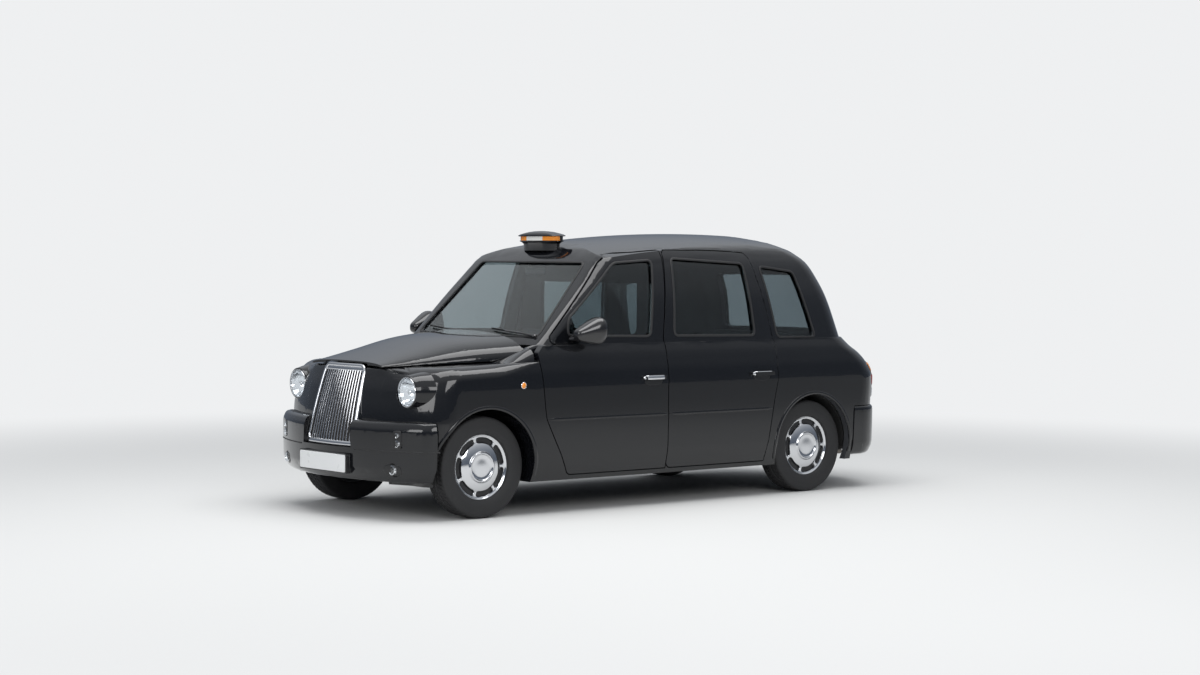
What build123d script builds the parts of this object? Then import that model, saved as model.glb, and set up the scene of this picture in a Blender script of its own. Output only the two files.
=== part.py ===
from build123d import *
import os
from functools import cache
from math import atan2, cos, pi, sin, sqrt

os.makedirs("parts", exist_ok=True)

# Axles and wheels, in millimetres: +X forward, +Y the nearside, Z up from the ground
WHEELBASE = 2886
FRONT_AXLE_X = 1610
REAR_AXLE_X = FRONT_AXLE_X - WHEELBASE
TRACK = 1440
TYRE_R = 325
TYRE_W = 175
RIM_R = 205
RIM_WALL = 9
HUB_R = 62
STUB_R = 24
KINGPIN_Y = 618
HALF_TRACK = TRACK / 2
KINGPIN_R = 20
COVER_R = 217
COVER_T = 8
COVER_Y = 84
COVER_DOME = 8
COVER_FLAT_R = 121
RUN_FIT = 0.3

# Clearances and walls
SHUT_GAP = 7
SEAT_GAP = 0.3
WALL = 48
ROOF_WALL = 34
FLOOR_CLEAR = 14

# Plan arcs of the body: the sides, the nose, the tail and their corners
SIDE_PLAN_R = 60000
SIDE_PLAN_X = 100
NOSE_PLAN_R = 1730
NOSE_CORNER_R = 170
TAIL_PLAN_R = 1100
TAIL_CORNER_R = 260
CABIN_PLAN_R = 11000
CABIN_PLAN_X = -300
SCREEN_PLAN_R = 5000
SCREEN_CORNER_R = 90
BACK_CORNER_R = 250
# Straight runs along half the nose or tail, each corner and each side
END_RUNS = 4
CORNER_RUNS = 4
SIDE_RUNS = 5

# Body sections: height, half width, nose x, tail x
BODY_SECTIONS = [
    (214, 848, 2150, -2225),
    (393, 884, 2178, -2245),
    (612, 890, 2192, -2266),
    (795, 888, 2166, -2275),
    (902, 883, 2136, -2218),
    (977, 872, 2110, -2132),
    (1030, 862, 2085, -2040),
    (1090, 845, 2060, -1958),
]
# Cabin sections: height, half width, screen x, back x
CABIN_SECTIONS = [
    (1084, 846, 1157, -1948),
    (1379, 806, 862, -1811),
    (1509, 776, 732, -1723),
    (1629, 738, 612, -1615),
    (1705, 690, 512, -1469),
    (1760, 612, 385, -1310),
    (1840, 520, 230, -1050),
]
# Bumper sections: height, half width, nose x, tail x
BUMPER_SECTIONS = [
    (240, 852, 2232, -2244),
    (330, 884, 2274, -2286),
    (560, 896, 2276, -2290),
    (622, 888, 2252, -2268),
]
ROOF_TOP = 1825
ROOF_X = -700
ROOF_R = 9500
CROWN_R = 2600
ROOF_STATIONS = (1250, 650, 250, -200, -700, -1200, -1700, -2100)
ROOF_RUNS = (-1000, -640, -430, -215, 0, 215, 430, 640, 1000)

# Wing tops, bumpers and arches
WING_TOP_FRONT = (2300, 940)
WING_TOP_BACK = (1193, 987)
WING_BACK_X = 950
WING_INNER_Y = 410
WING_INNER_T = 10
WING_TOP_T = 16
SCUTTLE_X = 1130
SCUTTLE_FRONT_X = 1165
SCUTTLE_BACK_X = 1068
SCREEN_BASE_Z = 1084
SCREEN_FOOT_Z = 1300
ARCH_R = 372
FRONT_HOUSE_Y = 404
REAR_HOUSE_Y = 592
BUMPER_FRONT_X = 1998
BUMPER_BACK_X = -1690
BUMPER_LOW_Z = 240
BUMPER_TOP_Z = 622
BUMPER_DEPTH = 45
REAR_BUMPER_TOP_Z = 598
SCREEN_SPLIT_Y = 600
GUTTER_Z = 1716

# Bonnet sections: x, half width, crown height
BONNET_SECTIONS = [
    (2104, 402, 986),
    (1800, 492, 1060),
    (1480, 590, 1132),
    (1172, 672, 1166),
]
BONNET_SKIN = 22
BONNET_REAR_HALF = BONNET_SECTIONS[-1][1]
BONNET_REAR_CROWN = BONNET_SECTIONS[-1][2]
# Points across half the bonnet: share of the half width, share of the crown's height
BONNET_PROFILE = [(1.0, 0.0), (0.97, 0.3), (0.9, 0.55), (0.72, 0.8), (0.48, 0.92), (0.24, 0.98)]

# Outlines seen from the side, as x and z
FRONT_DOOR = [
    (958, 246), (1150, 612), (1184, 892), (1208, 1040), (1150, 1096), (1052, 1112),
    (566, 1618), (480, 1678), (24, 1704), (-120, 1704), (-120, 246),
]
B_PILLAR = [(118, 246), (118, 1127), (24, 1704)]
REAR_DOOR = [
    (118, 246), (118, 1127), (24, 1704), (-300, 1704), (-700, 1692), (-1000, 1650), (-1000, 246),
]
C_PILLAR = [(-800, 246), (-864, 612), (-908, 800), (-906, 1092), (-782, 1650), (-752, 1692)]
FRONT_DOOR_WINDOW = [(896, 1143), (884, 1252), (470, 1620), (140, 1640), (226, 1132)]
REAR_DOOR_WINDOW = [(24, 1132), (-30, 1652), (-690, 1618), (-728, 1122)]
QUARTER_WINDOW = [(-952, 1104), (-848, 1600), (-1190, 1562), (-1358, 1096)]
# Outlines seen from the front, as half width and z
WINDSCREEN = [(662, 1136), (568, 1622)]
REAR_WINDOW = [(560, 1130), (460, 1540)]
BOOT_OPENING = [(520, 640), (520, 1072)]
WINDOW_CORNER_R = 38
DOOR_CORNER_R = 46
GLASS_DEPTH = 14
GLASS_T = 6
DOOR_HINGE_Y = 890
FRONT_HINGE_X = 1212
# Inner limit of the doors' depth, as y and z
DOOR_DEPTH = [
    (780, 200), (780, 1060), (735, 1150), (700, 1379), (672, 1509), (630, 1629), (604, 1720),
]
SIDE_REACH = (500, 1000)

# Front end pieces
GRILLE_TOP = (231, 968)
GRILLE_FOOT = (272, 448)
GRILLE_FOOT_X = 2256
GRILLE_TOP_X = 2122
GRILLE_RIM = 26
GRILLE_DEPTH = 46
GRILLE_BAR = 34
SLATS = 15
SLAT_T = 9
HEADLAMP = (628, 808)
HEADLAMP_R = 98
SIDE_LAMP = (640, 515)
SIDE_LAMP_W = 62
SIDE_LAMP_H = 104
FOG_LAMP = (606, 323)
FOG_LAMP_R = 42
REPEATER = (1337, 838)
REPEATER_R = 21
PLATE_W = 520
PLATE_H = 111
PLATE_T = 6
FRONT_PLATE_Z = 345
PLATE_X = 2284
TAIL_LAMP = (610, 760, 640, 905)

# Door handles: x of the rear end, height, half width of the body there and size of the bar
FRONT_HANDLE_X = 168
REAR_HANDLE_X = -833
HANDLE_LENGTH = 172
HANDLE_Z = 858
HANDLE_HALF = 885
HANDLE_H = 26
HANDLE_T = 14
HANDLE_STAND = 34
HANDLE_FOOT = 16

# Floor, rails and bulkheads
FLOOR_Z = 318
FLOOR_T = 32
AXLE_RISE_X = -1100
BOOT_FLOOR_Z = 450
BOOT_FLOOR_T = 16
BENCH_BACK_X = -1545
PARCEL_Z = 1062
FIREWALL_T = 14
TUB_T = 8
SILL_INNER_Y = 742
RAIL_Y = 330
RAIL_W = 56
RAIL_Z = 236
RAIL_FRONT_X = 2050
RAIL_BACK_X = -2080
RADIATOR_X = 2020
RADIATOR_T = 40

# Running gear and exhaust
ARM_Z = 205
ARM_T = 22
AXLE_TUBE_R = 40
EXHAUST_Y = 240
EXHAUST_Z = 262
EXHAUST_R = 25
SILENCER_R = 52

# Cabin fittings
DRIVER_Y = -390
DASH_X = 900
STEERING_CENTRE = (800, DRIVER_Y, 960)
STEERING_R = 190
STEERING_RIM_R = 14
PARTITION_X = 60
PARTITION_T = 30
TIP_SEAT_Y = 400
# Wipers: y of the spindle and of the tip
WIPERS = ((180, 640), (-560, 60))
# Roof sign: back and front x, half width, height
SIGN_X = (430, 580)
SIGN_HALF = 235
SIGN_TOP_Z = 1834


def corner_centre(side_x, side_r, side_half, end_x, end_r, corner_r):
    """Centre of the corner arc that touches the side arc and the end arc from inside."""
    ahead = 1 if end_x > 0 else -1
    c1 = Vector(side_x, side_half - side_r)
    c2 = Vector(end_x - ahead * end_r, 0)
    r1, r2 = side_r - corner_r, end_r - corner_r
    between = c2 - c1
    reach = (r1**2 - r2**2 + between.length**2) / (2 * between.length)
    rise = sqrt(r1**2 - reach**2)
    along = between.normalized()
    across = Vector(-along.Y, along.X)
    options = [c1 + along * reach + across * rise, c1 + along * reach - across * rise]
    return max(options, key=lambda p: ahead * p.X), c1, c2


def plan_points(half, front, back, plan, inset):
    """Plan outline at one height, inset along its normal, as short straight runs on its arcs."""
    side_x, side_r, front_r, front_corner, back_r, back_corner = plan
    front_c, side_c, nose_c = corner_centre(side_x, side_r, half, front, front_r, front_corner)
    back_c, _, tail_c = corner_centre(side_x, side_r, half, back, back_r, back_corner)

    def bearing(centre, point):
        return atan2(point.Y - centre.Y, point.X - centre.X)

    nose_end = bearing(nose_c, front_c)
    side_start = bearing(side_c, front_c)
    side_end = bearing(side_c, back_c)
    tail_start = bearing(tail_c, back_c)
    arcs = (
        (nose_c, front_r, 0, nose_end, END_RUNS),
        (front_c, front_corner, nose_end, side_start, CORNER_RUNS),
        (side_c, side_r, side_start, side_end, SIDE_RUNS),
        (back_c, back_corner, side_end, tail_start, CORNER_RUNS),
        (tail_c, back_r, tail_start, pi, END_RUNS),
    )
    points = []
    for centre, radius, start, end, runs in arcs:
        for i in range(runs):
            a = start + (end - start) * i / runs
            points.append((centre.X + (radius - inset) * cos(a), centre.Y + (radius - inset) * sin(a)))
    points.append((tail_c.X - (back_r - inset), 0))
    return points + [(x, -y) for x, y in reversed(points[1:-1])]


def plan_section(z, half, front, back, plan, inset):
    """Closed plan outline at one height."""
    points = plan_points(half, front, back, plan, inset)
    return make_face(Polyline([(x, y, z) for x, y in points], close=True))


BODY_PLAN = (SIDE_PLAN_X, SIDE_PLAN_R, NOSE_PLAN_R, NOSE_CORNER_R, TAIL_PLAN_R, TAIL_CORNER_R)
CABIN_PLAN = (
    CABIN_PLAN_X, CABIN_PLAN_R, SCREEN_PLAN_R, SCREEN_CORNER_R, TAIL_PLAN_R, BACK_CORNER_R,
)


@cache
def body_form(inset):
    """Lower body from the sills to the belt, inset by the given wall."""
    return loft([plan_section(*row, BODY_PLAN, inset) for row in BODY_SECTIONS], ruled=True)


@cache
def bumper_form(inset):
    """Both bumpers as one band round the body."""
    return loft([plan_section(*row, BODY_PLAN, inset) for row in BUMPER_SECTIONS], ruled=True)


def roof_cap(drop):
    """Everything under the crowned roof surface, lowered by the given wall."""
    stations = []
    for x in ROOF_STATIONS:
        top = ROOF_TOP - drop - ROOF_R + sqrt(ROOF_R**2 - (x - ROOF_X) ** 2)
        crown = [(x, y, top - CROWN_R + sqrt(CROWN_R**2 - y**2)) for y in ROOF_RUNS]
        outline = crown + [(x, ROOF_RUNS[-1], 900), (x, ROOF_RUNS[0], 900)]
        stations.append(make_face(Polyline(outline, close=True)))
    return loft(stations, ruled=True)


@cache
def cabin_form(inset, drop):
    """Cabin above the belt, with walls inset and the roof lowered."""
    walls = loft([plan_section(*row, CABIN_PLAN, inset) for row in CABIN_SECTIONS], ruled=True)
    return walls & roof_cap(drop)


def side_prism(outline, y0, y1, corner=0):
    """Prism along Y of an outline given as x and z."""
    sketch = Polygon(*[(x, z) for x, z in outline], align=None)
    if corner:
        sketch = fillet(sketch.vertices(), corner)
    return extrude(Plane.XZ.offset(-y0) * sketch, y1 - y0, dir=(0, 1, 0))


def end_prism(outline, x0, x1, corner=0):
    """Prism along X of a symmetric outline given as half width and z."""
    points = [(y, z) for y, z in outline] + [(-y, z) for y, z in reversed(outline)]
    sketch = Polygon(*points, align=None)
    if corner:
        sketch = fillet(sketch.vertices(), corner)
    return extrude(Plane.YZ.offset(x0) * sketch, x1 - x0, dir=(1, 0, 0))


def span(x0, x1, y0, y1, z0, z1):
    """Box between named limits."""
    return Pos((x0 + x1) / 2, (y0 + y1) / 2, (z0 + z1) / 2) * Box(x1 - x0, y1 - y0, z1 - z0)


def rod(a, b, radius):
    """Round bar from point a to point b."""
    a, b = Vector(*a), Vector(*b)
    return Solid.extrude(Face(Wire.make_circle(radius, Plane(a, z_dir=b - a))), b - a)


def both_sides(shape):
    """A piece and its mirror image across the middle of the car."""
    return [shape, mirror(shape, Plane.XZ)]


def bonnet_section(x, half, crown):
    """Cross-section of the domed bonnet block at one station, as short straight runs."""
    (front_x, front_z), (back_x, back_z) = WING_TOP_FRONT, WING_TOP_BACK
    rim = back_z + (front_z - back_z) * (x - back_x) / (front_x - back_x) + SHUT_GAP
    side = [(x, half * across, rim + (crown - rim) * rise) for across, rise in BONNET_PROFILE]
    outline = [(x, half, rim - 60), *side, (x, 0, crown)]
    outline += [(x, -y, z) for x, y, z in reversed(outline[:-1])]
    return make_face(Polyline(outline, close=True))


def door_cutter(outline, swing_edge, hinge_x, grow):
    """Door block: a side outline, ended by a face turned about the vertical hinge line."""
    face = Polygon(*[(x, z) for x, z in outline], align=None)
    face = offset(fillet(face.vertices(), DOOR_CORNER_R), grow)
    block = extrude(Plane.XZ.offset(-SIDE_REACH[0]) * face, SIDE_REACH[1] - SIDE_REACH[0], dir=(0, 1, 0))
    depth = [(y - grow, z) for y, z in DOOR_DEPTH]
    depth = Polygon(*depth, (1100, DOOR_DEPTH[-1][1]), (1100, DOOR_DEPTH[0][1]), align=None)
    block = block & extrude(Plane.YZ.offset(-1200) * depth, 2600, dir=(1, 0, 0))
    low, high = swing_edge[0][1], swing_edge[-1][1]
    turned = [(0, low - 100), (hinge_x - swing_edge[0][0] + grow, low - 100)]
    turned += [(hinge_x - x + grow, z) for x, z in swing_edge]
    turned += [(hinge_x - swing_edge[-1][0] + grow, high + 100), (0, high + 100)]
    ring = revolve(Plane.XZ * Polygon(*turned, align=None), Axis.Z)
    return block & (Pos(hinge_x, DOOR_HINGE_Y, 0) * ring)


# Master forms
body = body_form(0)
body_inside = body_form(WALL)
lower_shell = body - body_inside
upper_shell = cabin_form(0, 0) - cabin_form(WALL, ROOF_WALL)

# Everything a node holds, by name
nodes = {}


def put(name, *shapes):
    """Store the solids of one node."""
    solids = []
    for shape in shapes:
        solids.extend(shape.solids())
    nodes[name] = Compound(children=solids) if len(solids) > 1 else solids[0]


def main_solid(shape):
    """The largest solid of a cut, without the crumbs beside it."""
    return max(shape.solids(), key=lambda solid: solid.volume)


def wheel_arch(x, radius, y0, y1):
    """Cylinder along Y about an axle."""
    return Pos(x, (y0 + y1) / 2, TYRE_R) * Rot(90, 0, 0) * Cylinder(radius, y1 - y0)


# Door openings and doors, nearside first
GROW = SHUT_GAP / 2
REAR_HINGE_X = B_PILLAR[0][0] - GROW
front_opening = door_cutter(FRONT_DOOR, B_PILLAR, FRONT_HINGE_X, GROW)
front_leaf = door_cutter(FRONT_DOOR, B_PILLAR, FRONT_HINGE_X, -GROW)
rear_opening = door_cutter(REAR_DOOR, C_PILLAR, REAR_HINGE_X, GROW)
rear_leaf = door_cutter(REAR_DOOR, C_PILLAR, REAR_HINGE_X, -GROW)
glass_slab = cabin_form(GLASS_DEPTH, GLASS_DEPTH) - cabin_form(GLASS_DEPTH + GLASS_T, GLASS_DEPTH)


def window_cut(outline):
    """Window opening through one side."""
    return side_prism(outline, SIDE_REACH[0], SIDE_REACH[1], WINDOW_CORNER_R)


def pane_cut(outline):
    """Outline of the pane that sits in a window opening."""
    face = Polygon(*outline, align=None)
    face = offset(fillet(face.vertices(), WINDOW_CORNER_R), -SEAT_GAP)
    return extrude(Plane.XZ.offset(-SIDE_REACH[0]) * face, SIDE_REACH[1] - SIDE_REACH[0], dir=(0, 1, 0))


def handle(rear_x, z, half):
    """Bar handle on two feet, standing off a door."""
    y = half + HANDLE_STAND
    bar = span(rear_x, rear_x + HANDLE_LENGTH, y - HANDLE_T, y, z - HANDLE_H / 2, z + HANDLE_H / 2)
    for foot_x in (rear_x + HANDLE_FOOT, rear_x + HANDLE_LENGTH - 2 * HANDLE_FOOT):
        bar = bar + span(foot_x, foot_x + HANDLE_FOOT, half - 12, y - 1, z - HANDLE_FOOT / 2, z + HANDLE_FOOT / 2)
    return bar


door_zone = span(-1100, 1300, SIDE_REACH[0], SIDE_REACH[1], 200, 1720)
lower_side = lower_shell & door_zone
upper_side = upper_shell & door_zone
for name, leaf, window, handle_x in (
    ("front", front_leaf, FRONT_DOOR_WINDOW, FRONT_HANDLE_X),
    ("rear", rear_leaf, REAR_DOOR_WINDOW, REAR_HANDLE_X),
):
    skin = main_solid((lower_side & leaf) + ((upper_side & leaf) - window_cut(window)))
    skin = skin + handle(handle_x, HANDLE_Z, HANDLE_HALF)
    pane = glass_slab & pane_cut(window)
    for side, piece, glass in zip(("left", "right"), both_sides(skin), both_sides(pane)):
        put(f"door_{name}_{side}", piece)
        put(f"door_glass_{name}_{side}", glass)

# Body sides: pillars, cant rails, sills and rear quarters
front_arch = wheel_arch(FRONT_AXLE_X, ARCH_R, FRONT_HOUSE_Y, SIDE_REACH[1])
rear_arch = wheel_arch(REAR_AXLE_X, ARCH_R, REAR_HOUSE_Y, SIDE_REACH[1])
side_zone = span(-2300, 1400, SCREEN_SPLIT_Y, SIDE_REACH[1], 200, GUTTER_Z)
wing_zone = span(WING_BACK_X, 2400, 0, SIDE_REACH[1], 200, 1200)
bumper_zone = span(BUMPER_FRONT_X, 2400, -1000, 1000, 200, BUMPER_TOP_Z)
rear_bumper_zone = span(-2400, BUMPER_BACK_X, -1000, 1000, 200, REAR_BUMPER_TOP_Z)
bumper_hollow = body_form(BUMPER_DEPTH)
lamp_y0, lamp_y1, lamp_z0, lamp_z1 = TAIL_LAMP
tail_lamp_cut = span(-2400, -1800, lamp_y0, lamp_y1, lamp_z0, lamp_z1)

screen_hole = end_prism(WINDSCREEN, 300, 1400, WINDOW_CORNER_R)
side = (lower_shell & side_zone) - wing_zone - rear_arch - rear_bumper_zone
side = side + ((upper_shell & side_zone) - window_cut(QUARTER_WINDOW))
side = side - screen_hole - front_opening - rear_opening
side = main_solid(side - (tail_lamp_cut - body_form(25)))
put("body_sides", *both_sides(side))
quarter_pane = glass_slab & pane_cut(QUARTER_WINDOW)

# Roof with the frames of the windscreen's top and the rear window
roof_zone = span(-2300, 1400, -SCREEN_SPLIT_Y, SCREEN_SPLIT_Y, SCREEN_FOOT_Z, GUTTER_Z)
roof_zone = roof_zone + span(-2300, 0, -SCREEN_SPLIT_Y, SCREEN_SPLIT_Y, 1000, GUTTER_Z)
roof_zone = roof_zone + span(-2300, 1400, -1000, 1000, GUTTER_Z, 1900)
rear_window_hole = end_prism(REAR_WINDOW, -2200, -1300, WINDOW_CORNER_R)
put("roof", main_solid((upper_shell & roof_zone) - screen_hole - rear_window_hole))


def end_glass(outline, x0, x1):
    """Pane set in an opening of the screen or the back."""
    points = [(y, z) for y, z in outline] + [(-y, z) for y, z in reversed(outline)]
    face = Polygon(*points, align=None)
    face = offset(fillet(face.vertices(), WINDOW_CORNER_R), -SEAT_GAP)
    return glass_slab & extrude(Plane.YZ.offset(x0) * face, x1 - x0, dir=(1, 0, 0))


put(
    "fixed_glass",
    end_glass(WINDSCREEN, 300, 1400),
    end_glass(REAR_WINDOW, -2200, -1300),
    *both_sides(quarter_pane),
)

# Front wings, hollow from below round a wheelhouse liner
wing_top = side_prism(
    [WING_TOP_FRONT, WING_TOP_BACK, (900, WING_TOP_BACK[1]), (900, 100), (2300, 100)], -1000, 1000
)
hollow_top = Pos(0, 0, -WING_TOP_T) * wing_top
front_form = body & wing_top
wing = front_form & span(SCUTTLE_X, 2400, WING_INNER_Y, SIDE_REACH[1], 200, 1000)
wing_hollow = body_form(WALL) & hollow_top & span(
    SCUTTLE_X + WING_INNER_T, BUMPER_FRONT_X, WING_INNER_Y + WING_INNER_T, SIDE_REACH[1], 200, 1000
)
liner = wheel_arch(FRONT_AXLE_X, ARCH_R + WING_INNER_T, FRONT_HOUSE_Y, SIDE_REACH[1])
wing = wing - (wing_hollow - liner)
wing = wing + (lower_shell & wing_top & span(WING_BACK_X, SCUTTLE_X, SCREEN_SPLIT_Y, 1000, 200, 1000))
wing = wing - front_opening - front_arch - (bumper_zone - bumper_hollow)
lamp_bore = Pos(2100, HEADLAMP[0], HEADLAMP[1]) * Rot(0, 90, 0) * Cylinder(HEADLAMP_R, 700)
lamp_body = (Pos(2100, HEADLAMP[0], HEADLAMP[1]) * Rot(0, 90, 0) * Cylinder(HEADLAMP_R - SEAT_GAP, 700)) & (
    body_form(-10) - body_form(60)
)
wing = main_solid(wing - (lamp_bore - body_form(60)))
put("front_wings", *both_sides(wing))
repeater = Pos(REPEATER[0], 870, REPEATER[1]) * Rot(90, 0, 0) * Cylinder(REPEATER_R, 100)
repeater = repeater & (body_form(-7) - body_form(-SEAT_GAP))

# Scuttle between the bonnet, the wings, the door pillars and the foot of the windscreen
scuttle = body & side_prism(
    [
        (SCUTTLE_FRONT_X, WING_TOP_BACK[1]), (SCUTTLE_FRONT_X, WING_TOP_BACK[1] + 6),
        (SCUTTLE_BACK_X, SCREEN_BASE_Z), (SCUTTLE_BACK_X, WING_TOP_BACK[1]),
    ], -1000, 1000,
)
corner_fill = body & side_prism(
    [(FRONT_HINGE_X, WING_TOP_BACK[1]), (SCUTTLE_BACK_X, SCREEN_BASE_Z), (SCUTTLE_BACK_X, WING_TOP_BACK[1])],
    BONNET_REAR_HALF + SHUT_GAP, 1000,
)
crown = loft([bonnet_section(SCUTTLE_FRONT_X, BONNET_REAR_HALF - 30, BONNET_REAR_CROWN - 30),
              bonnet_section(SCUTTLE_BACK_X, BONNET_REAR_HALF + 20, SCREEN_BASE_Z + 20)], ruled=True)
scuttle = scuttle + crown + corner_fill + mirror(corner_fill, Plane.XZ)
scuttle = scuttle & span(1000, 1300, -1000, 1000, WING_TOP_BACK[1], 1200)
screen_foot = upper_shell & span(900, 1400, -SCREEN_SPLIT_Y, SCREEN_SPLIT_Y, 1080, SCREEN_FOOT_Z)
scuttle = scuttle - cabin_form(0, 0)
scuttle = scuttle + (screen_foot - screen_hole)
for opening in both_sides(front_opening):
    scuttle = scuttle - opening
put("scuttle", main_solid(scuttle - nodes["body_sides"] - screen_hole))

# Nose panel over the grille
nose_zone = span(1900, 2400, -WING_INNER_Y, WING_INNER_Y, BUMPER_TOP_Z, 1000)
grille_hole = end_prism([GRILLE_FOOT, GRILLE_TOP], 1900, 2400)
put("nose_panel", (lower_shell & wing_top & nose_zone) - grille_hole)


def grille_block(inset):
    """Block behind the raked and curved face of the grille."""
    rows = (
        (GRILLE_FOOT[1] - 20, 880, GRILLE_FOOT_X, -2000),
        (GRILLE_TOP[1] + 20, 880, GRILLE_TOP_X, -2000),
    )
    return loft([plan_section(*row, BODY_PLAN, inset) for row in rows], ruled=True)


slat_foot = (GRILLE_FOOT[0] - GRILLE_RIM, GRILLE_FOOT[1] + GRILLE_BAR)
slat_top = (GRILLE_TOP[0] - GRILLE_RIM, GRILLE_TOP[1] - GRILLE_RIM)
rim_outline = end_prism([(y - SEAT_GAP, z) for y, z in (GRILLE_FOOT, GRILLE_TOP)], 1900, 2400)
grille_back = grille_block(GRILLE_DEPTH)
grille = (grille_block(0) - grille_back) & (rim_outline - end_prism([slat_foot, slat_top], 1900, 2400))
slat_pitch = 2 * slat_foot[0] / (SLATS + 1)
slat_low, slat_high = slat_foot[1] - 5, slat_top[1] + 5
slats = []
for i in range(SLATS):
    y = (i - (SLATS - 1) / 2) * slat_pitch
    lean = y * slat_top[0] / slat_foot[0]
    outline = Polygon(
        (y - SLAT_T / 2, slat_low), (y + SLAT_T / 2, slat_low),
        (lean + SLAT_T / 2, slat_high), (lean - SLAT_T / 2, slat_high), align=None,
    )
    slats.append(extrude(Plane.YZ.offset(1900) * outline, 500, dir=(1, 0, 0)).solid())
slat_slab = grille_block(8) - grille_block(GRILLE_DEPTH - 10)
put("grille", grille + (slat_slab & Compound(children=slats)))

# Bumpers, cut round the grille and the lamps
bumper_band = bumper_form(0) - bumper_hollow
front_band = bumper_band & span(BUMPER_FRONT_X, 2400, -1000, 1000, BUMPER_LOW_Z, BUMPER_TOP_Z)
front_band = front_band - grille_hole
plate_y = PLATE_W / 2
plinth = span(2200, PLATE_X, -plate_y - 6, plate_y + 6, FRONT_PLATE_Z - 62, FRONT_PLATE_Z + 62)
front_band = front_band + (plinth - bumper_form(6))
side_lamp = span(
    2000, 2300, SIDE_LAMP[0] - SIDE_LAMP_W / 2, SIDE_LAMP[0] + SIDE_LAMP_W / 2,
    SIDE_LAMP[1] - SIDE_LAMP_H / 2, SIDE_LAMP[1] + SIDE_LAMP_H / 2,
)
fog_lamp = Pos(2150, FOG_LAMP[0], FOG_LAMP[1]) * Rot(0, 90, 0) * Cylinder(FOG_LAMP_R, 300)
lamp_skin = bumper_form(-4) - bumper_form(30)
small_lamps = []
for cutter in (side_lamp, fog_lamp):
    for piece in both_sides(cutter):
        front_band = front_band - (piece - bumper_form(30))
        small_lamps.append(piece & lamp_skin)
rear_band = bumper_band & span(-2400, BUMPER_BACK_X, -1000, 1000, BUMPER_LOW_Z, REAR_BUMPER_TOP_Z)
put("bumpers", main_solid(front_band), main_solid(rear_band))
put("headlamps", *both_sides(lamp_body))
tail_lamps = both_sides(tail_lamp_cut & (body_form(-5) - body_form(25)))
put("small_lamps", *small_lamps, *both_sides(repeater), *tail_lamps)

# Tail panel and boot lid
tail_zone = span(-2400, -1560, -SCREEN_SPLIT_Y, SCREEN_SPLIT_Y, REAR_BUMPER_TOP_Z, SCREEN_BASE_Z)
tail_shell = lower_shell & tail_zone
boot_hole = end_prism(BOOT_OPENING, -2400, -1900, DOOR_CORNER_R)
(boot_half, boot_low), (_, boot_high) = BOOT_OPENING
lid_outline = [(boot_half - SHUT_GAP, boot_low + SHUT_GAP), (boot_half - SHUT_GAP, boot_high - SHUT_GAP)]
put("boot_lid", tail_shell & end_prism(lid_outline, -2400, -1900, DOOR_CORNER_R))
put("rear_panel", main_solid(tail_shell - boot_hole))

# Bonnet, a domed skin over the wing tops, notched round the top of the grille
above_wings = side_prism(
    [
        (WING_TOP_FRONT[0], WING_TOP_FRONT[1] + SHUT_GAP), (WING_TOP_BACK[0], WING_TOP_BACK[1] + SHUT_GAP),
        (1000, WING_TOP_BACK[1] + SHUT_GAP), (1000, 1400), (2300, 1400),
    ], -1000, 1000,
)
bonnet_outer = loft([bonnet_section(x, half, crown) for x, half, crown in BONNET_SECTIONS], ruled=True)
bonnet_inner = loft(
    [bonnet_section(x, half - BONNET_SKIN, crown - BONNET_SKIN) for x, half, crown in BONNET_SECTIONS], ruled=True
)
grille_fall = GRILLE_TOP[0] ** 2 / (2 * NOSE_PLAN_R)
notch_back = GRILLE_TOP_X - GRILLE_DEPTH - grille_fall - SHUT_GAP
notch_half = GRILLE_TOP[0] + SHUT_GAP
grille_notch = span(notch_back, 2300, -notch_half, notch_half, 900, GRILLE_TOP[1] + SHUT_GAP)
put("bonnet", main_solid(((bonnet_outer - bonnet_inner) & above_wings) - grille_notch))

# Floor, sills, bulkheads, wheel tubs and rails under the body
room = body_form(WALL + FLOOR_CLEAR)
floor = room & span(AXLE_RISE_X, SCUTTLE_X, -900, 900, FLOOR_Z, FLOOR_Z + FLOOR_T)
rear_floor = room & span(-2180, AXLE_RISE_X, -900, 900, BOOT_FLOOR_Z, BOOT_FLOOR_Z + BOOT_FLOOR_T)
riser = room & span(AXLE_RISE_X, AXLE_RISE_X + FIREWALL_T, -900, 900, FLOOR_Z, BOOT_FLOOR_Z + BOOT_FLOOR_T)
firewall = room & span(SCUTTLE_X - FIREWALL_T, SCUTTLE_X, -900, 900, FLOOR_Z, WING_TOP_BACK[1])
seat_wall = room & span(
    BENCH_BACK_X - FIREWALL_T, BENCH_BACK_X, -900, 900, BOOT_FLOOR_Z, PARCEL_Z
)
parcel = room & span(-1880, BENCH_BACK_X, -700, 700, PARCEL_Z, PARCEL_Z + FIREWALL_T)
under = floor + rear_floor + riser + firewall + seat_wall + parcel
tub_front, tub_back = REAR_AXLE_X + ARCH_R + TUB_T, REAR_AXLE_X - ARCH_R - TUB_T
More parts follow.
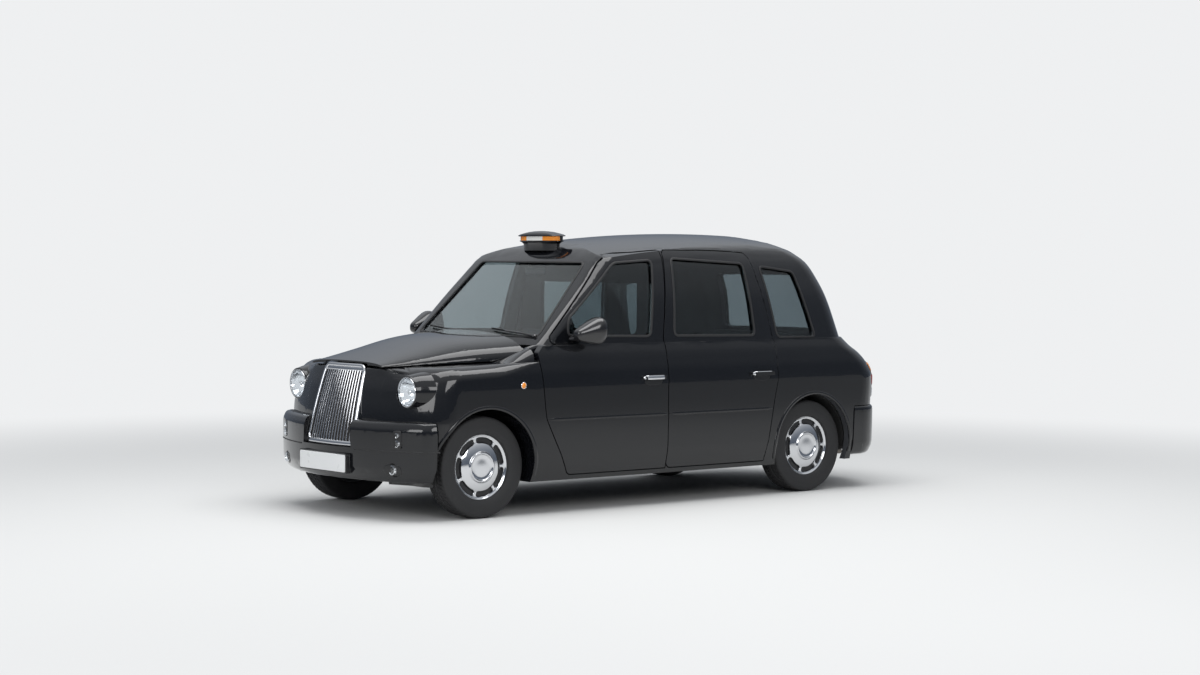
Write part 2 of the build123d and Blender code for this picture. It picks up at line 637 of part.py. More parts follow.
for side in (1, -1):
    y0, y1 = sorted((side * SILL_INNER_Y, side * 900))
    sill = body_inside & span(tub_front, SCUTTLE_X, y0, y1, 214, 242)
    sill = sill + (room & span(tub_front, WING_BACK_X - 10, y0, y1, 240, FLOOR_Z + 2))
    y0, y1 = sorted((side * (RAIL_Y), side * (RAIL_Y + RAIL_W)))
    rail = span(RAIL_BACK_X, RAIL_FRONT_X, y0, y1, RAIL_Z, FLOOR_Z + 1)
    rail = rail - wheel_arch(REAR_AXLE_X, 112, -700, 700)
    post = span(RAIL_BACK_X, RAIL_BACK_X + RAIL_W, y0, y1, FLOOR_Z, BOOT_FLOOR_Z + 1)
    y0, y1 = sorted((side * (FRONT_HOUSE_Y - 14), side * (FRONT_HOUSE_Y - 2)))
    inner_wing = span(SCUTTLE_X, RADIATOR_X, y0, y1, FLOOR_Z - 40, 900)
    y0, y1 = sorted((side * (REAR_HOUSE_Y - TUB_T), side * 900))
    tub = wheel_arch(REAR_AXLE_X, ARCH_R + TUB_T, y0, y1) & room
    tub = tub & span(tub_back, tub_front, -1000, 1000, FLOOR_Z, 900)
    under = under + sill + rail + post + inner_wing + tub
for side in (1, -1):
    y0, y1 = sorted((side * REAR_HOUSE_Y, side * 1000))
    under = under - wheel_arch(REAR_AXLE_X, ARCH_R, y0, y1)
under = under - wheel_arch(REAR_AXLE_X, AXLE_TUBE_R + 20, -700, 700)
radiator = span(
    RADIATOR_X - RADIATOR_T, RADIATOR_X, -FRONT_HOUSE_Y + 8, FRONT_HOUSE_Y - 8, FLOOR_Z - 40, 900
)
put("underbody", main_solid(under + radiator))

# Engine, tank and exhaust
block = span(1340, 1860, -170, 170, 400, 800)
sump = span(1380, 1800, -130, 130, 290, 402)
rocker_cover = span(1370, 1830, -90, 90, 798, 868)
gearbox = span(1144, 1342, -120, 120, 360, 640)
put("engine", block + sump + rocker_cover + gearbox)
tank = span(-1080, -420, 20 - RAIL_Y, RAIL_Y - 180, 236, FLOOR_Z)
put("fuel_tank", fillet(tank.edges().filter_by(Axis.Z), 40))
silencer = rod((120, EXHAUST_Y, EXHAUST_Z), (720, EXHAUST_Y, EXHAUST_Z), SILENCER_R)
pipe_run = [
    (1500, EXHAUST_Y, EXHAUST_Z), (-900, EXHAUST_Y, EXHAUST_Z), (-1100, EXHAUST_Y, EXHAUST_Z - 26),
    (-1480, EXHAUST_Y, EXHAUST_Z - 26), (-2180, EXHAUST_Y, EXHAUST_Z - 52),
]
exhaust = silencer
for start, end in zip(pipe_run, pipe_run[1:]):
    exhaust = exhaust + rod(start, end, EXHAUST_R)
put("exhaust", main_solid(exhaust))


def turned(profile, x, y, z):
    """Revolve a profile of radius and y about an axle and put it in place."""
    face = Polygon(*profile, align=None)
    return Pos(x, y, z) * revolve(Plane.XY * face, Axis.Y)


# Tyres and wheels, profiles as radius and distance outward from the wheel's middle
half_w = TYRE_W / 2
bead_w = half_w - 16
tyre_profile = [
    (RIM_R, -bead_w), (TYRE_R - 66, -half_w), (TYRE_R, -half_w + 22),
    (TYRE_R, half_w - 22), (TYRE_R - 66, half_w), (RIM_R, bead_w),
]
rim_profile = [
    (STUB_R + RUN_FIT, -18), (RIM_R - RIM_WALL, -18), (RIM_R - RIM_WALL, -bead_w), (RIM_R, -bead_w), (RIM_R, bead_w),
    (COVER_R, bead_w + COVER_T / 2), (COVER_R, bead_w + COVER_T), (COVER_FLAT_R, COVER_Y + COVER_DOME),
    (0, COVER_Y + COVER_DOME), (0, 44), (STUB_R + RUN_FIT, 44),
]
for end, axle_x in (("front", FRONT_AXLE_X), ("rear", REAR_AXLE_X)):
    for label, side in (("left", 1), ("right", -1)):
        tyre = turned(tyre_profile, 0, 0, 0)
        wheel = turned(rim_profile, 0, 0, 0)
        if side < 0:
            tyre, wheel = mirror(tyre, Plane.XZ), mirror(wheel, Plane.XZ)
        place = Pos(axle_x, side * HALF_TRACK, TYRE_R)
        put(f"tyre_{end}_{label}", place * tyre)
        put(f"wheel_{end}_{label}", place * wheel)

# Knuckles with their stub axles, which turn about the kingpins
kingpin = rod(
    (FRONT_AXLE_X, KINGPIN_Y, ARM_Z + ARM_T + 2), (FRONT_AXLE_X, KINGPIN_Y, TYRE_R + 150), KINGPIN_R
)
stub = rod((FRONT_AXLE_X, KINGPIN_Y, TYRE_R), (FRONT_AXLE_X, HALF_TRACK + 40, TYRE_R), STUB_R)
drum = rod((FRONT_AXLE_X, KINGPIN_Y, TYRE_R), (FRONT_AXLE_X, HALF_TRACK - 24, TYRE_R), HUB_R - 12)
for label, piece in zip(("left", "right"), both_sides(kingpin + stub + drum)):
    put(f"knuckle_{label}", piece)

# Front suspension arms and cross-member; rear axle with its springs
cross = span(
    FRONT_AXLE_X - 70, FRONT_AXLE_X + 70, -RAIL_Y - RAIL_W, RAIL_Y + RAIL_W, ARM_Z - 15, RAIL_Z
)
arm = Polygon(
    (FRONT_AXLE_X - 110, RAIL_Y), (FRONT_AXLE_X + 110, RAIL_Y),
    (FRONT_AXLE_X + 18, KINGPIN_Y + 8), (FRONT_AXLE_X - 18, KINGPIN_Y + 8), align=None,
)
arm = extrude(Plane.XY.offset(ARM_Z) * arm, ARM_T, dir=(0, 0, 1))
put("front_suspension", cross + arm + mirror(arm, Plane.XZ))
axle_y = HALF_TRACK - 60
axle = rod((REAR_AXLE_X, -axle_y, TYRE_R), (REAR_AXLE_X, axle_y, TYRE_R), AXLE_TUBE_R)
axle = axle + rod(
    (REAR_AXLE_X, -HALF_TRACK - 40, TYRE_R), (REAR_AXLE_X, HALF_TRACK + 40, TYRE_R), STUB_R
)
axle = axle + Pos(REAR_AXLE_X, 0, TYRE_R) * Rot(90, 0, 0) * Cylinder(105, 190)
leaf_y0, leaf_y1 = 450, 510
leaf_set = (
    span(REAR_AXLE_X - 560, REAR_AXLE_X + 380, leaf_y0, leaf_y1, 262, 285)
    + span(REAR_AXLE_X + 350, REAR_AXLE_X + 380, leaf_y0, leaf_y1, 262, FLOOR_Z)
    + span(REAR_AXLE_X - 560, REAR_AXLE_X - 530, leaf_y0, leaf_y1, 262, BOOT_FLOOR_Z)
    + span(REAR_AXLE_X - 50, REAR_AXLE_X + 50, leaf_y0, leaf_y1, 250, TYRE_R)
)
put("rear_axle", axle + leaf_set + mirror(leaf_set, Plane.XZ))

# Cabin fittings; the driver sits on the offside
dash_front = SCUTTLE_X - FIREWALL_T
dash = Polygon(
    (dash_front, 700), (DASH_X + 40, 700), (DASH_X, 820), (DASH_X + 10, 950), (DASH_X + 70, 985),
    (dash_front, 980), align=None,
)
dash = extrude(Plane.XZ.offset(-720) * dash, 1440, dir=(0, -1, 0)) & body_form(WALL + 40)
wheel_centre = Vector(*STEERING_CENTRE)
column_tip = Vector(DASH_X + 45, DRIVER_Y, 890)
column_dir = (wheel_centre - column_tip).normalized()
wheel_plane = Plane(wheel_centre, x_dir=(0, 1, 0), z_dir=column_dir)
rim_section = Pos(STEERING_R, 0, 0) * RegularPolygon(STEERING_RIM_R, 4)
steering = wheel_plane.location * revolve(Plane.XZ * rim_section, Axis.Z)
steering = steering + rod(wheel_centre - column_dir * 24, wheel_centre + column_dir * 6, 46)
for angle in (90, 200, 340):
    place = wheel_plane.location * Rot(0, 0, angle) * Pos(STEERING_R / 2 + 10, 0, -8)
    steering = steering + place * Box(STEERING_R - 20, 34, 10)
put("steering_wheel", steering)
put("dashboard", dash + rod(wheel_centre - column_dir * 27, column_tip - column_dir * 60, 26))


def seat(back_x, length, y0, y1, base_z, cushion_z, top_z, lean):
    """Cushion and backrest of a bench or chair facing forward."""
    profile = Polygon(
        (back_x, base_z), (back_x + length, base_z), (back_x + length, cushion_z),
        (back_x + 130, cushion_z - 20), (back_x + 130 - lean, top_z), (back_x - lean + 20, top_z),
        (back_x, base_z + 60), align=None,
    )
    profile = fillet(profile.vertices(), 14)
    return extrude(Plane.XZ.offset(-y0) * profile, y1 - y0, dir=(0, 1, 0))


cabin_floor = FLOOR_Z + FLOOR_T
driver = seat(210, 500, DRIVER_Y - 240, DRIVER_Y + 240, cabin_floor, 640, 1180, 60)
bench_half = REAR_HOUSE_Y - 16
bench = seat(-1480, 480, -bench_half, bench_half, BOOT_FLOOR_Z + BOOT_FLOOR_T, 690, 1150, 40)
put("seats", driver, bench)
screen_x = (PARTITION_X, PARTITION_X + PARTITION_T)
partition = room & span(*screen_x, -770, 770, cabin_floor, 1087)
partition = partition + (cabin_form(WALL + FLOOR_CLEAR, ROOF_WALL) & span(*screen_x, -770, 770, 1084, 1840))
partition = partition - span(PARTITION_X - 10, PARTITION_X + 50, -520, 520, 1120, 1480)
for y in (-TIP_SEAT_Y, TIP_SEAT_Y):
    partition = partition + span(PARTITION_X - 90, PARTITION_X, y - 210, y + 210, 560, 1000)
put("partition", partition)

# Mirrors on the doors, wipers, sign and front plate
mirror_head = span(806, 930, 862, 1018, 1080, 1270)
mirror_head = fillet(mirror_head.edges().filter_by(Axis.X), 40)
mirror_unit = main_solid((mirror_head + span(850, 905, 800, 900, 1112, 1140)) - cabin_form(-SEAT_GAP, 0))
for label, piece in zip(("left", "right"), both_sides(mirror_unit)):
    put(f"mirror_{label}", piece)
screen_skin = cabin_form(-12, 0) - cabin_form(-SEAT_GAP, 0)
wipers = []
for pivot_y, tip_y in WIPERS:
    blade = Polygon((pivot_y, 1132), (tip_y, 1170), (tip_y, 1184), (pivot_y, 1150), align=None)
    wipers.append(screen_skin & extrude(Plane.YZ.offset(900) * blade, 400, dir=(1, 0, 0)))
put("wipers", *wipers)
sign = span(SIGN_X[0], SIGN_X[1], -SIGN_HALF, SIGN_HALF, 1640, SIGN_TOP_Z)
sign = fillet(sign.edges().filter_by(Axis.Z), 50)
put("roof_sign", main_solid(sign - cabin_form(-SEAT_GAP, -SEAT_GAP)))
plate = span(
    PLATE_X, PLATE_X + PLATE_T, -plate_y, plate_y, FRONT_PLATE_Z - PLATE_H / 2, FRONT_PLATE_Z + PLATE_H / 2
)
put("number_plate", plate)

for name, shape in nodes.items():
    export_step(shape, f"parts/{name}.step")
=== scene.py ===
import math
import bmesh
import bpy
import numpy as np
from mathutils import Matrix, Vector


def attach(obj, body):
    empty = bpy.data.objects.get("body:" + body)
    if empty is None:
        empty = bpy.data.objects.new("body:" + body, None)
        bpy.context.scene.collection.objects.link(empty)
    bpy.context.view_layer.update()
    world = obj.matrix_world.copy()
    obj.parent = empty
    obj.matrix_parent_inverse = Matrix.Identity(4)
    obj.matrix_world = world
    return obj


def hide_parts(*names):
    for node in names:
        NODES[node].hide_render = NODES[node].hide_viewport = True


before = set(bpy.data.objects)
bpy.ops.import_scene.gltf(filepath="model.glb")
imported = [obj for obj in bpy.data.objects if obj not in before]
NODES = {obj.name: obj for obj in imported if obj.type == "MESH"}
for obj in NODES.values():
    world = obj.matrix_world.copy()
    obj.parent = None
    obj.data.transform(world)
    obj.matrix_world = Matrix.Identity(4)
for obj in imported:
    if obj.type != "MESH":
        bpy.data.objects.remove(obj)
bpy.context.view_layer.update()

# Camera
# The view from the front nearside at eye height, through a long lens.
CAMERA_AT = Vector((10.458, 12.556, 1.664))
CAMERA_YAW, CAMERA_PITCH, CAMERA_ROLL = (math.radians(a) for a in (230.15, -2.0, -0.31))
LENS, SENSOR, CLIP_END = 69.93, 36, 200


def placed(made):
    """An object linked into the scene."""
    bpy.context.scene.collection.objects.link(made)
    return made


camera = placed(bpy.data.objects.new("camera", bpy.data.cameras.new("camera")))
bpy.context.scene.camera = camera
camera.data.lens, camera.data.sensor_width, camera.data.clip_end = LENS, SENSOR, CLIP_END
ahead = Vector((
    math.cos(CAMERA_PITCH) * math.cos(CAMERA_YAW),
    math.cos(CAMERA_PITCH) * math.sin(CAMERA_YAW),
    math.sin(CAMERA_PITCH),
))
right = Matrix.Rotation(CAMERA_ROLL, 3, ahead) @ ahead.cross(Vector((0, 0, 1))).normalized()
up = right.cross(ahead)
camera.matrix_world = Matrix.Translation(CAMERA_AT) @ Matrix((right, up, -ahead)).transposed().to_4x4()

# Studio
# A pale floor that runs out into a pale backdrop, under a dome that is darker at the horizon
# than overhead, with three soft lamps at a level where a colour renders as it is written.
bpy.context.scene.view_settings.view_transform = "Standard"
BACKDROP = (0.86, 0.87, 0.88, 1)
HORIZON, ZENITH, DOME_STRENGTH = (0.17, 0.20, 0.25), (0.93, 0.96, 1.0), 0.75
FLOOR_COLOUR, FLOOR_ROUGHNESS, FLOOR_REACH = (0.62, 0.62, 0.61, 1), 0.85, 90.0
FLOOR_FADE = (3.4, 9.5)


def shader(tree, kind, **values):
    """A node of the given kind with its sockets set by name."""
    node = tree.nodes.new(kind)
    for key, value in values.items():
        node.inputs[key.replace("_", " ")].default_value = value
    return node


def worked(tree, operation, first, second):
    """A Math node on two values."""
    node = tree.nodes.new("ShaderNodeMath")
    node.operation = operation
    tree.links.new(first, node.inputs[0])
    tree.links.new(second, node.inputs[1])
    return node.outputs[0]


def sight(tree):
    """1 for rays from the camera and for rays that pass through glass."""
    rays = tree.nodes.new("ShaderNodeLightPath").outputs
    return worked(tree, "MAXIMUM", rays["Is Camera Ray"], rays["Is Transmission Ray"])


def ranged(tree, value, low, high, to_low=0.0, to_high=1.0):
    """A value carried from one range to another along a smooth step."""
    node = tree.nodes.new("ShaderNodeMapRange")
    node.interpolation_type = "SMOOTHSTEP"
    for key, number in zip(("From Min", "From Max", "To Min", "To Max"), (low, high, to_low, to_high)):
        node.inputs[key].default_value = number
    tree.links.new(value, node.inputs["Value"])
    return node.outputs["Result"]


def blended(tree, share, first, second):
    """A colour between two, by a share."""
    node = tree.nodes.new("ShaderNodeMix")
    node.data_type = "RGBA"
    node.inputs[6].default_value = (*first, 1)
    node.inputs[7].default_value = (*second, 1)
    tree.links.new(share, node.inputs[0])
    return node.outputs[2]


def mixed(tree, share, first, second, end):
    """Two shaders mixed by a share, and sent to the tree's output."""
    mix = tree.nodes.new("ShaderNodeMixShader")
    for source, socket in zip((share, first.outputs[0], second.outputs[0]), mix.inputs):
        tree.links.new(source, socket)
    tree.links.new(mix.outputs[0], end.inputs[0])


def new_material(name):
    """A node material, its tree, its Principled node and its object coordinates."""
    made = bpy.data.materials.new(name)
    made.use_nodes = True
    tree = made.node_tree
    return made, tree, tree.nodes["Principled BSDF"], tree.nodes.new("ShaderNodeTexCoord").outputs["Object"]


world = bpy.data.worlds.new("studio")
bpy.context.scene.world = world
world.use_nodes = True
tree = world.node_tree
tree.nodes.clear()
split = tree.nodes.new("ShaderNodeSeparateXYZ")
tree.links.new(tree.nodes.new("ShaderNodeTexCoord").outputs["Generated"], split.inputs[0])
dome = shader(tree, "ShaderNodeBackground", Strength=DOME_STRENGTH)
height = ranged(tree, split.outputs["Z"], 0.0, 0.8)
tree.links.new(blended(tree, height, HORIZON, ZENITH), dome.inputs["Color"])
backdrop = shader(tree, "ShaderNodeBackground", Color=BACKDROP, Strength=1.0)
mixed(tree, sight(tree), dome, backdrop, tree.nodes.new("ShaderNodeOutputWorld"))

# Lamps: place, aim, length, width and power
LAMPS = [
    ("lamp_above", (0.5, 1.0, 7.5), (0, 0, 0), 9.0, 5.0, 520),
    ("lamp_nearside", (3.5, 9.0, 4.2), (0, 0, 0.8), 6.0, 3.0, 260),
    ("lamp_front", (10.0, 1.5, 3.6), (0.8, 0, 0.8), 4.0, 3.0, 170),
]
for name, at, aim, long, wide, power in LAMPS:
    data = bpy.data.lights.new(name, "AREA")
    data.shape = "RECTANGLE"
    data.size, data.size_y, data.energy = long, wide, power
    lamp = placed(bpy.data.objects.new(name, data))
    lamp.location = at
    lamp.rotation_euler = (Vector(aim) - Vector(at)).to_track_quat("-Z", "Y").to_euler()

corners = [(-1, -1), (1, -1), (1, 1), (-1, 1)]
floor_mesh = bpy.data.meshes.new("floor")
floor_mesh.from_pydata([(x * FLOOR_REACH, y * FLOOR_REACH, 0) for x, y in corners], [], [(0, 1, 2, 3)])
floor = placed(bpy.data.objects.new("floor", floor_mesh))
floor_paint, tree, base, place = new_material("studio_floor")
base.inputs["Base Color"].default_value = FLOOR_COLOUR
base.inputs["Roughness"].default_value = FLOOR_ROUGHNESS
away = tree.nodes.new("ShaderNodeVectorMath")
away.operation = "LENGTH"
tree.links.new(place, away.inputs[0])
far = worked(tree, "MULTIPLY", ranged(tree, away.outputs["Value"], *FLOOR_FADE), sight(tree))
glow = shader(tree, "ShaderNodeEmission", Color=BACKDROP, Strength=1.0)
mixed(tree, far, base, glow, tree.nodes["Material Output"])
floor.data.materials.append(floor_paint)

# Body panels
# Pressed steel panels over a steel shell, sprayed deep gloss black. The frame holds them
# as straight runs between sections, and here they are drawn as the smooth curves through
# those sections, with eased edges, so the paint shows clean reflections.
MM = 0.001
SIDE_RUNS, CORNER_RUNS, END_RUNS = 5, 4, 4
HALF_RUNS = SIDE_RUNS + 2 * CORNER_RUNS + 2 * END_RUNS
# Sections: height, half width, nose x, tail x
BODY_SECTIONS = np.array([
    (214, 848, 2150, -2225), (393, 884, 2178, -2245), (612, 890, 2192, -2266), (795, 888, 2166, -2275),
    (902, 883, 2136, -2218), (977, 872, 2110, -2132), (1030, 862, 2085, -2040), (1090, 845, 2060, -1958),
]) * MM
CABIN_SECTIONS = np.array([
    (1084, 846, 1157, -1948), (1379, 806, 862, -1811), (1509, 776, 732, -1723), (1629, 738, 612, -1615),
    (1705, 690, 512, -1469), (1760, 612, 385, -1310), (1840, 520, 230, -1050),
]) * MM
BUMPER_SECTIONS = np.array([
    (240, 852, 2232, -2244), (330, 884, 2274, -2286), (560, 896, 2276, -2290), (622, 888, 2252, -2268),
]) * MM
# Plan arcs: side centre x and radius, nose radius and corner, tail radius and corner
BODY_PLAN = np.array((100, 60000, 1730, 170, 1100, 260)) * MM
CABIN_PLAN = np.array((-300, 11000, 5000, 90, 1100, 250)) * MM
ROOF_TOP, ROOF_X, ROOF_R, CROWN_R = 1.825, -0.7, 9.5, 2.6
ROOF_STATIONS = np.array((1250, 650, 250, -200, -700, -1200, -1700, -2100)) * MM
ROOF_RUNS = np.array((-1000, -640, -430, -215, 0, 215, 430, 640, 1000)) * MM
BELT = 1.087
FINE = 8
CABIN_HEART = np.array([-0.2, 0.0, 0.9])


def unit(vectors):
    """Vectors of length one."""
    return vectors / np.maximum(np.linalg.norm(vectors, axis=-1, keepdims=True), 1e-12)


def step_up(x, low, high):
    """0 below low, 1 above high and a smooth step between."""
    t = np.clip((x - low) / (high - low), 0, 1)
    return t * t * (3 - 2 * t)


def plan_outline(half, nose, tail, plan, per_run):
    """Closed plan outlines, one a row: nose arc, corner arc, side arc, corner arc and tail arc,
    each divided in equal angles, then their mirror image."""
    side_x, side_r, nose_r, nose_corner, tail_r, tail_corner = plan
    side_c = np.stack([np.full_like(half, side_x), half - side_r], -1)

    def corner(end, end_r, corner_r, ahead):
        end_c = np.stack([end - ahead * end_r, np.zeros_like(end)], -1)
        between = end_c - side_c
        gap = np.linalg.norm(between, axis=-1, keepdims=True)
        r1, r2 = side_r - corner_r, end_r - corner_r
        along = between / gap
        reach = (r1**2 - r2**2 + gap**2) / (2 * gap)
        rise = np.sqrt(r1**2 - reach**2)
        across = np.stack([-along[..., 1], along[..., 0]], -1)
        first, second = side_c + along * reach + across * rise, side_c + along * reach - across * rise
        return np.where((ahead * first[..., :1] > ahead * second[..., :1]), first, second), end_c

    def bearing(a, b):
        return np.arctan2(b[..., 1] - a[..., 1], b[..., 0] - a[..., 0])

    front_c, nose_c = corner(nose, nose_r, nose_corner, 1)
    back_c, tail_c = corner(tail, tail_r, tail_corner, -1)
    zero, full = np.zeros_like(half), np.full_like(half, math.pi)
    turns = [
        zero, bearing(nose_c, front_c), bearing(side_c, front_c), bearing(side_c, back_c),
        bearing(tail_c, back_c), full,
    ]
    arcs = [
        (nose_c, nose_r, END_RUNS), (front_c, nose_corner, CORNER_RUNS), (side_c, side_r, SIDE_RUNS),
        (back_c, tail_corner, CORNER_RUNS), (tail_c, tail_r, END_RUNS),
    ]
    pieces = []
    for (centre, radius, runs), start, end in zip(arcs, turns, turns[1:]):
        share = np.arange(runs * per_run) / (runs * per_run)
        angle = start[:, None] + (end - start)[:, None] * share
        pieces.append(centre[:, None] + radius * np.stack([np.cos(angle), np.sin(angle)], -1))
    pieces.append(tail_c[:, None] + tail_r * np.array([-1.0, 0.0]))
    half_way = np.concatenate(pieces, 1)
    return np.concatenate([half_way, half_way[:, -2:0:-1] * (1, -1)], 1)


def smooth_rows(z, rows):
    """Section values at heights z on a monotone cubic through the rows: slopes are the harmonic
    mean of the runs' slopes on each side, and zero where they turn."""
    x, y = rows[:, 0], rows[:, 1:]
    run = np.diff(x)[:, None]
    slope = np.diff(y, axis=0) / run
    level = slope[:-1] * slope[1:] > 0
    inner = np.where(level, 2 * slope[:-1] * slope[1:] / np.where(level, slope[:-1] + slope[1:], 1), 0)
    slopes = np.concatenate([slope[:1], inner, slope[-1:]])
    i = np.clip(np.searchsorted(x, z) - 1, 0, len(x) - 2)
    t = np.clip((z - x[i]) / run[i, 0], 0, 1)[:, None]
    h = run[i]
    return (
        (2 * t**3 - 3 * t**2 + 1) * y[i] + (t**3 - 2 * t**2 + t) * h * slopes[i]
        + (3 * t**2 - 2 * t**3) * y[i + 1] + (t**3 - t**2) * h * slopes[i + 1]
    )


def eased(below, inside, radius):
    """Rounds the corner between a top face and a wall: points in the square of side radius in the
    corner move onto a quarter disc, by their distances below the top and inside the wall."""
    p, q = radius - below, radius - inside
    corner = (p > 0) & (q > 0) & (below > -0.0005) & (inside > -0.0005)
    share = np.where(corner, np.maximum(p, q) / np.maximum(np.hypot(p, q), 1e-9), 1)
    return radius - p * share, radius - q * share


class Form:
    """A body form: the frame's straight outlines at its sections and the smooth ones between."""

    def __init__(self, rows, plan):
        self.rows = rows
        self.coarse = plan_outline(*rows[:, 1:].T, plan, 1)
        self.z = np.linspace(rows[0, 0], rows[-1, 0], 300)
        self.fine = plan_outline(*smooth_rows(self.z, rows).T, plan, FINE)

    def straight(self, z):
        """The frame's outline at each height, between the outlines of two sections."""
        x = self.rows[:, 0]
        i = np.clip(np.searchsorted(x, z) - 1, 0, len(x) - 2)
        t = np.clip((z - x[i]) / (x[i + 1] - x[i]), 0, 1)[:, None, None]
        return self.coarse[i] * (1 - t) + self.coarse[i + 1] * t

    def smooth(self, z, s):
        """Point of the smooth surface at height z and place s along the outline, in runs."""
        n = self.fine.shape[1]
        row = np.clip((z - self.z[0]) / (self.z[1] - self.z[0]), 0, len(self.z) - 1.001)
        i, t = row.astype(int), (row % 1)[:, None]
        col = (s * FINE) % n
        j, u = col.astype(int), (col % 1)[:, None]
        k = (j + 1) % n
        low = self.fine[i, j] * (1 - u) + self.fine[i, k] * u
        high = self.fine[i + 1, j] * (1 - u) + self.fine[i + 1, k] * u
        return low * (1 - t) + high * t

    def fit(self, points, edges=()):
        """Moves points from the straight-sided form to the smooth one. Each keeps its share of the
        run and its depth along and across the wall. Each edge is a function of the points that
        gives the height of a level, a radius and which way the wall leaves it."""
        z = points[:, 2]
        a = self.straight(z)
        run = np.roll(a, -1, 1) - a
        rel = points[:, None, :2] - a
        u = np.clip((rel * run).sum(-1) / (run**2).sum(-1), 0, 1)
        gap = rel - u[..., None] * run
        k = np.argmin((gap**2).sum(-1), 1)
        pick = np.arange(len(points))
        run, gap, u = run[pick, k], gap[pick, k], u[pick, k]
        along = unit(run)
        across = np.stack([along[:, 1], -along[:, 0]], -1)
        depth = (gap * across).sum(-1)
        slip = (gap * along).sum(-1)
        s = k + u
        out = points.copy()
        eased_depth = depth.copy()
        for edge in edges:
            level, radius, way = edge(points)
            below, inside = eased(way * (level - out[:, 2]), -eased_depth, radius)
            out[:, 2] = level - way * below
            eased_depth = -inside
        here = self.smooth(out[:, 2], s)
        ahead = unit(self.smooth(out[:, 2], s + 0.4) - self.smooth(out[:, 2], s - 0.4))
        outward = np.stack([ahead[:, 1], -ahead[:, 0]], -1)
        moved = here + slip[:, None] * ahead + eased_depth[:, None] * outward
        weight = np.clip((0.22 - np.abs(depth)) / 0.14, 0, 1)[:, None]
        out[:, :2] += (moved - points[:, :2]) * weight
        return out, depth


LOWER = Form(BODY_SECTIONS, BODY_PLAN)
UPPER = Form(CABIN_SECTIONS, CABIN_PLAN)
BUMPER = Form(BUMPER_SECTIONS, BODY_PLAN)


def crown(x, y):
    """Height of the smooth roof: an arc across the car on an arc along it."""
    return ROOF_TOP - ROOF_R + np.sqrt(ROOF_R**2 - (x - ROOF_X) ** 2) - CROWN_R + np.sqrt(CROWN_R**2 - y**2)


def straight_crown(x, y):
    """Height of the frame's roof: bilinear between its stations and runs."""
    heights = crown(ROOF_STATIONS[:, None], ROOF_RUNS[None])
    i = np.clip(np.searchsorted(-ROOF_STATIONS, -x) - 1, 0, len(ROOF_STATIONS) - 2)
    j = np.clip(np.searchsorted(ROOF_RUNS, y) - 1, 0, len(ROOF_RUNS) - 2)
    t = (x - ROOF_STATIONS[i]) / (ROOF_STATIONS[i + 1] - ROOF_STATIONS[i])
    u = (y - ROOF_RUNS[j]) / (ROOF_RUNS[j + 1] - ROOF_RUNS[j])
    near = heights[i, j] * (1 - u) + heights[i, j + 1] * u
    far = heights[i + 1, j] * (1 - u) + heights[i + 1, j + 1] * u
    return near * (1 - t) + far * t


def weld(points, tris, fineness=1e6):
    """Joins corners that meet, and leaves out triangles with no area."""
    codes = np.round(points * fineness).astype(np.int64)
    _, first, index = np.unique(codes, axis=0, return_index=True, return_inverse=True)
    tris = index.reshape(-1)[tris].reshape(-1, 3)
    flat = (tris[:, 0] == tris[:, 1]) | (tris[:, 1] == tris[:, 2]) | (tris[:, 2] == tris[:, 0])
    return points[first], tris[~flat]


def node_mesh(node):
    """Vertices and triangles of a CAD node, with shared corners joined."""
    mesh = NODES[node].data
    points = np.empty(len(mesh.vertices) * 3, np.float32)
    mesh.vertices.foreach_get("co", points)
    mesh.calc_loop_triangles()
    tris = np.empty(len(mesh.loop_triangles) * 3, np.int32)
    mesh.loop_triangles.foreach_get("vertices", tris)
    return weld(points.reshape(-1, 3).astype(float), tris.reshape(-1, 3), 2e4)


def sliced(points, tris, normal, levels):
    """Cuts triangles along parallel planes: a corner on its own side of a plane becomes one
    triangle and the rest two, with one new point on each cut edge."""
    for level in levels:
        height = points @ normal - level
        side = np.sign(np.where(np.abs(height) < 2e-5, 0, height)).astype(int)
        at = side[tris]
        cut = (at.max(1) > 0) & (at.min(1) < 0)
        if not cut.any():
            continue
        kept, work, at = tris[~cut], tris[cut], at[cut]
        touching = (at == 0).any(1)
        lone = np.where(touching, np.argmax(at == 0, 1), np.argmax(at == -np.sign(at.sum(1))[:, None], 1))
        order = (lone[:, None] + np.arange(3)) % 3
        work = np.take_along_axis(work, order, 1)
        a, b, c = work.T
        pairs = np.where(
            touching[:, None, None], np.stack([b, c, b, c], 1).reshape(-1, 2, 2),
            np.stack([a, b, a, c], 1).reshape(-1, 2, 2),
        )
        pairs = np.sort(pairs, -1)
        codes = pairs[..., 0] * len(points) + pairs[..., 1]
        found, index = np.unique(codes, return_inverse=True)
        index = index.reshape(-1, 2) + len(points)
        lo, hi = found // len(points), found % len(points)
        share = height[lo] / (height[lo] - height[hi])
        points = np.concatenate([points, points[lo] + (points[hi] - points[lo]) * share[:, None]])
        m, n = index.T
        two = np.stack([a, b, m, a, m, c], 1)[touching]
        three = np.stack([a, m, n, m, b, c, m, c, n], 1)[~touching]
        tris = np.concatenate([kept, two.reshape(-1, 3), three.reshape(-1, 3)])
    return points, tris


def gridded(points, tris, steps, starts, levels=None):
    """Cuts triangles across z, x and y in turn: at even steps in x, y and z that start past the
    lowest point, or at the levels given."""
    if levels is None:
        low, high = points.min(0), points.max(0)
        levels = [np.arange(low[k] + starts[k], high[k], steps[k]) for k in range(3)]
    for way in (2, 0, 1):
        points, tris = sliced(points, tris, np.eye(3)[way], levels[way])
    return points, tris


def facing(points, tris):
    """The way each triangle faces."""
    a, b, c = (points[tris[:, k]] for k in range(3))
    return unit(np.cross(b - a, c - a))


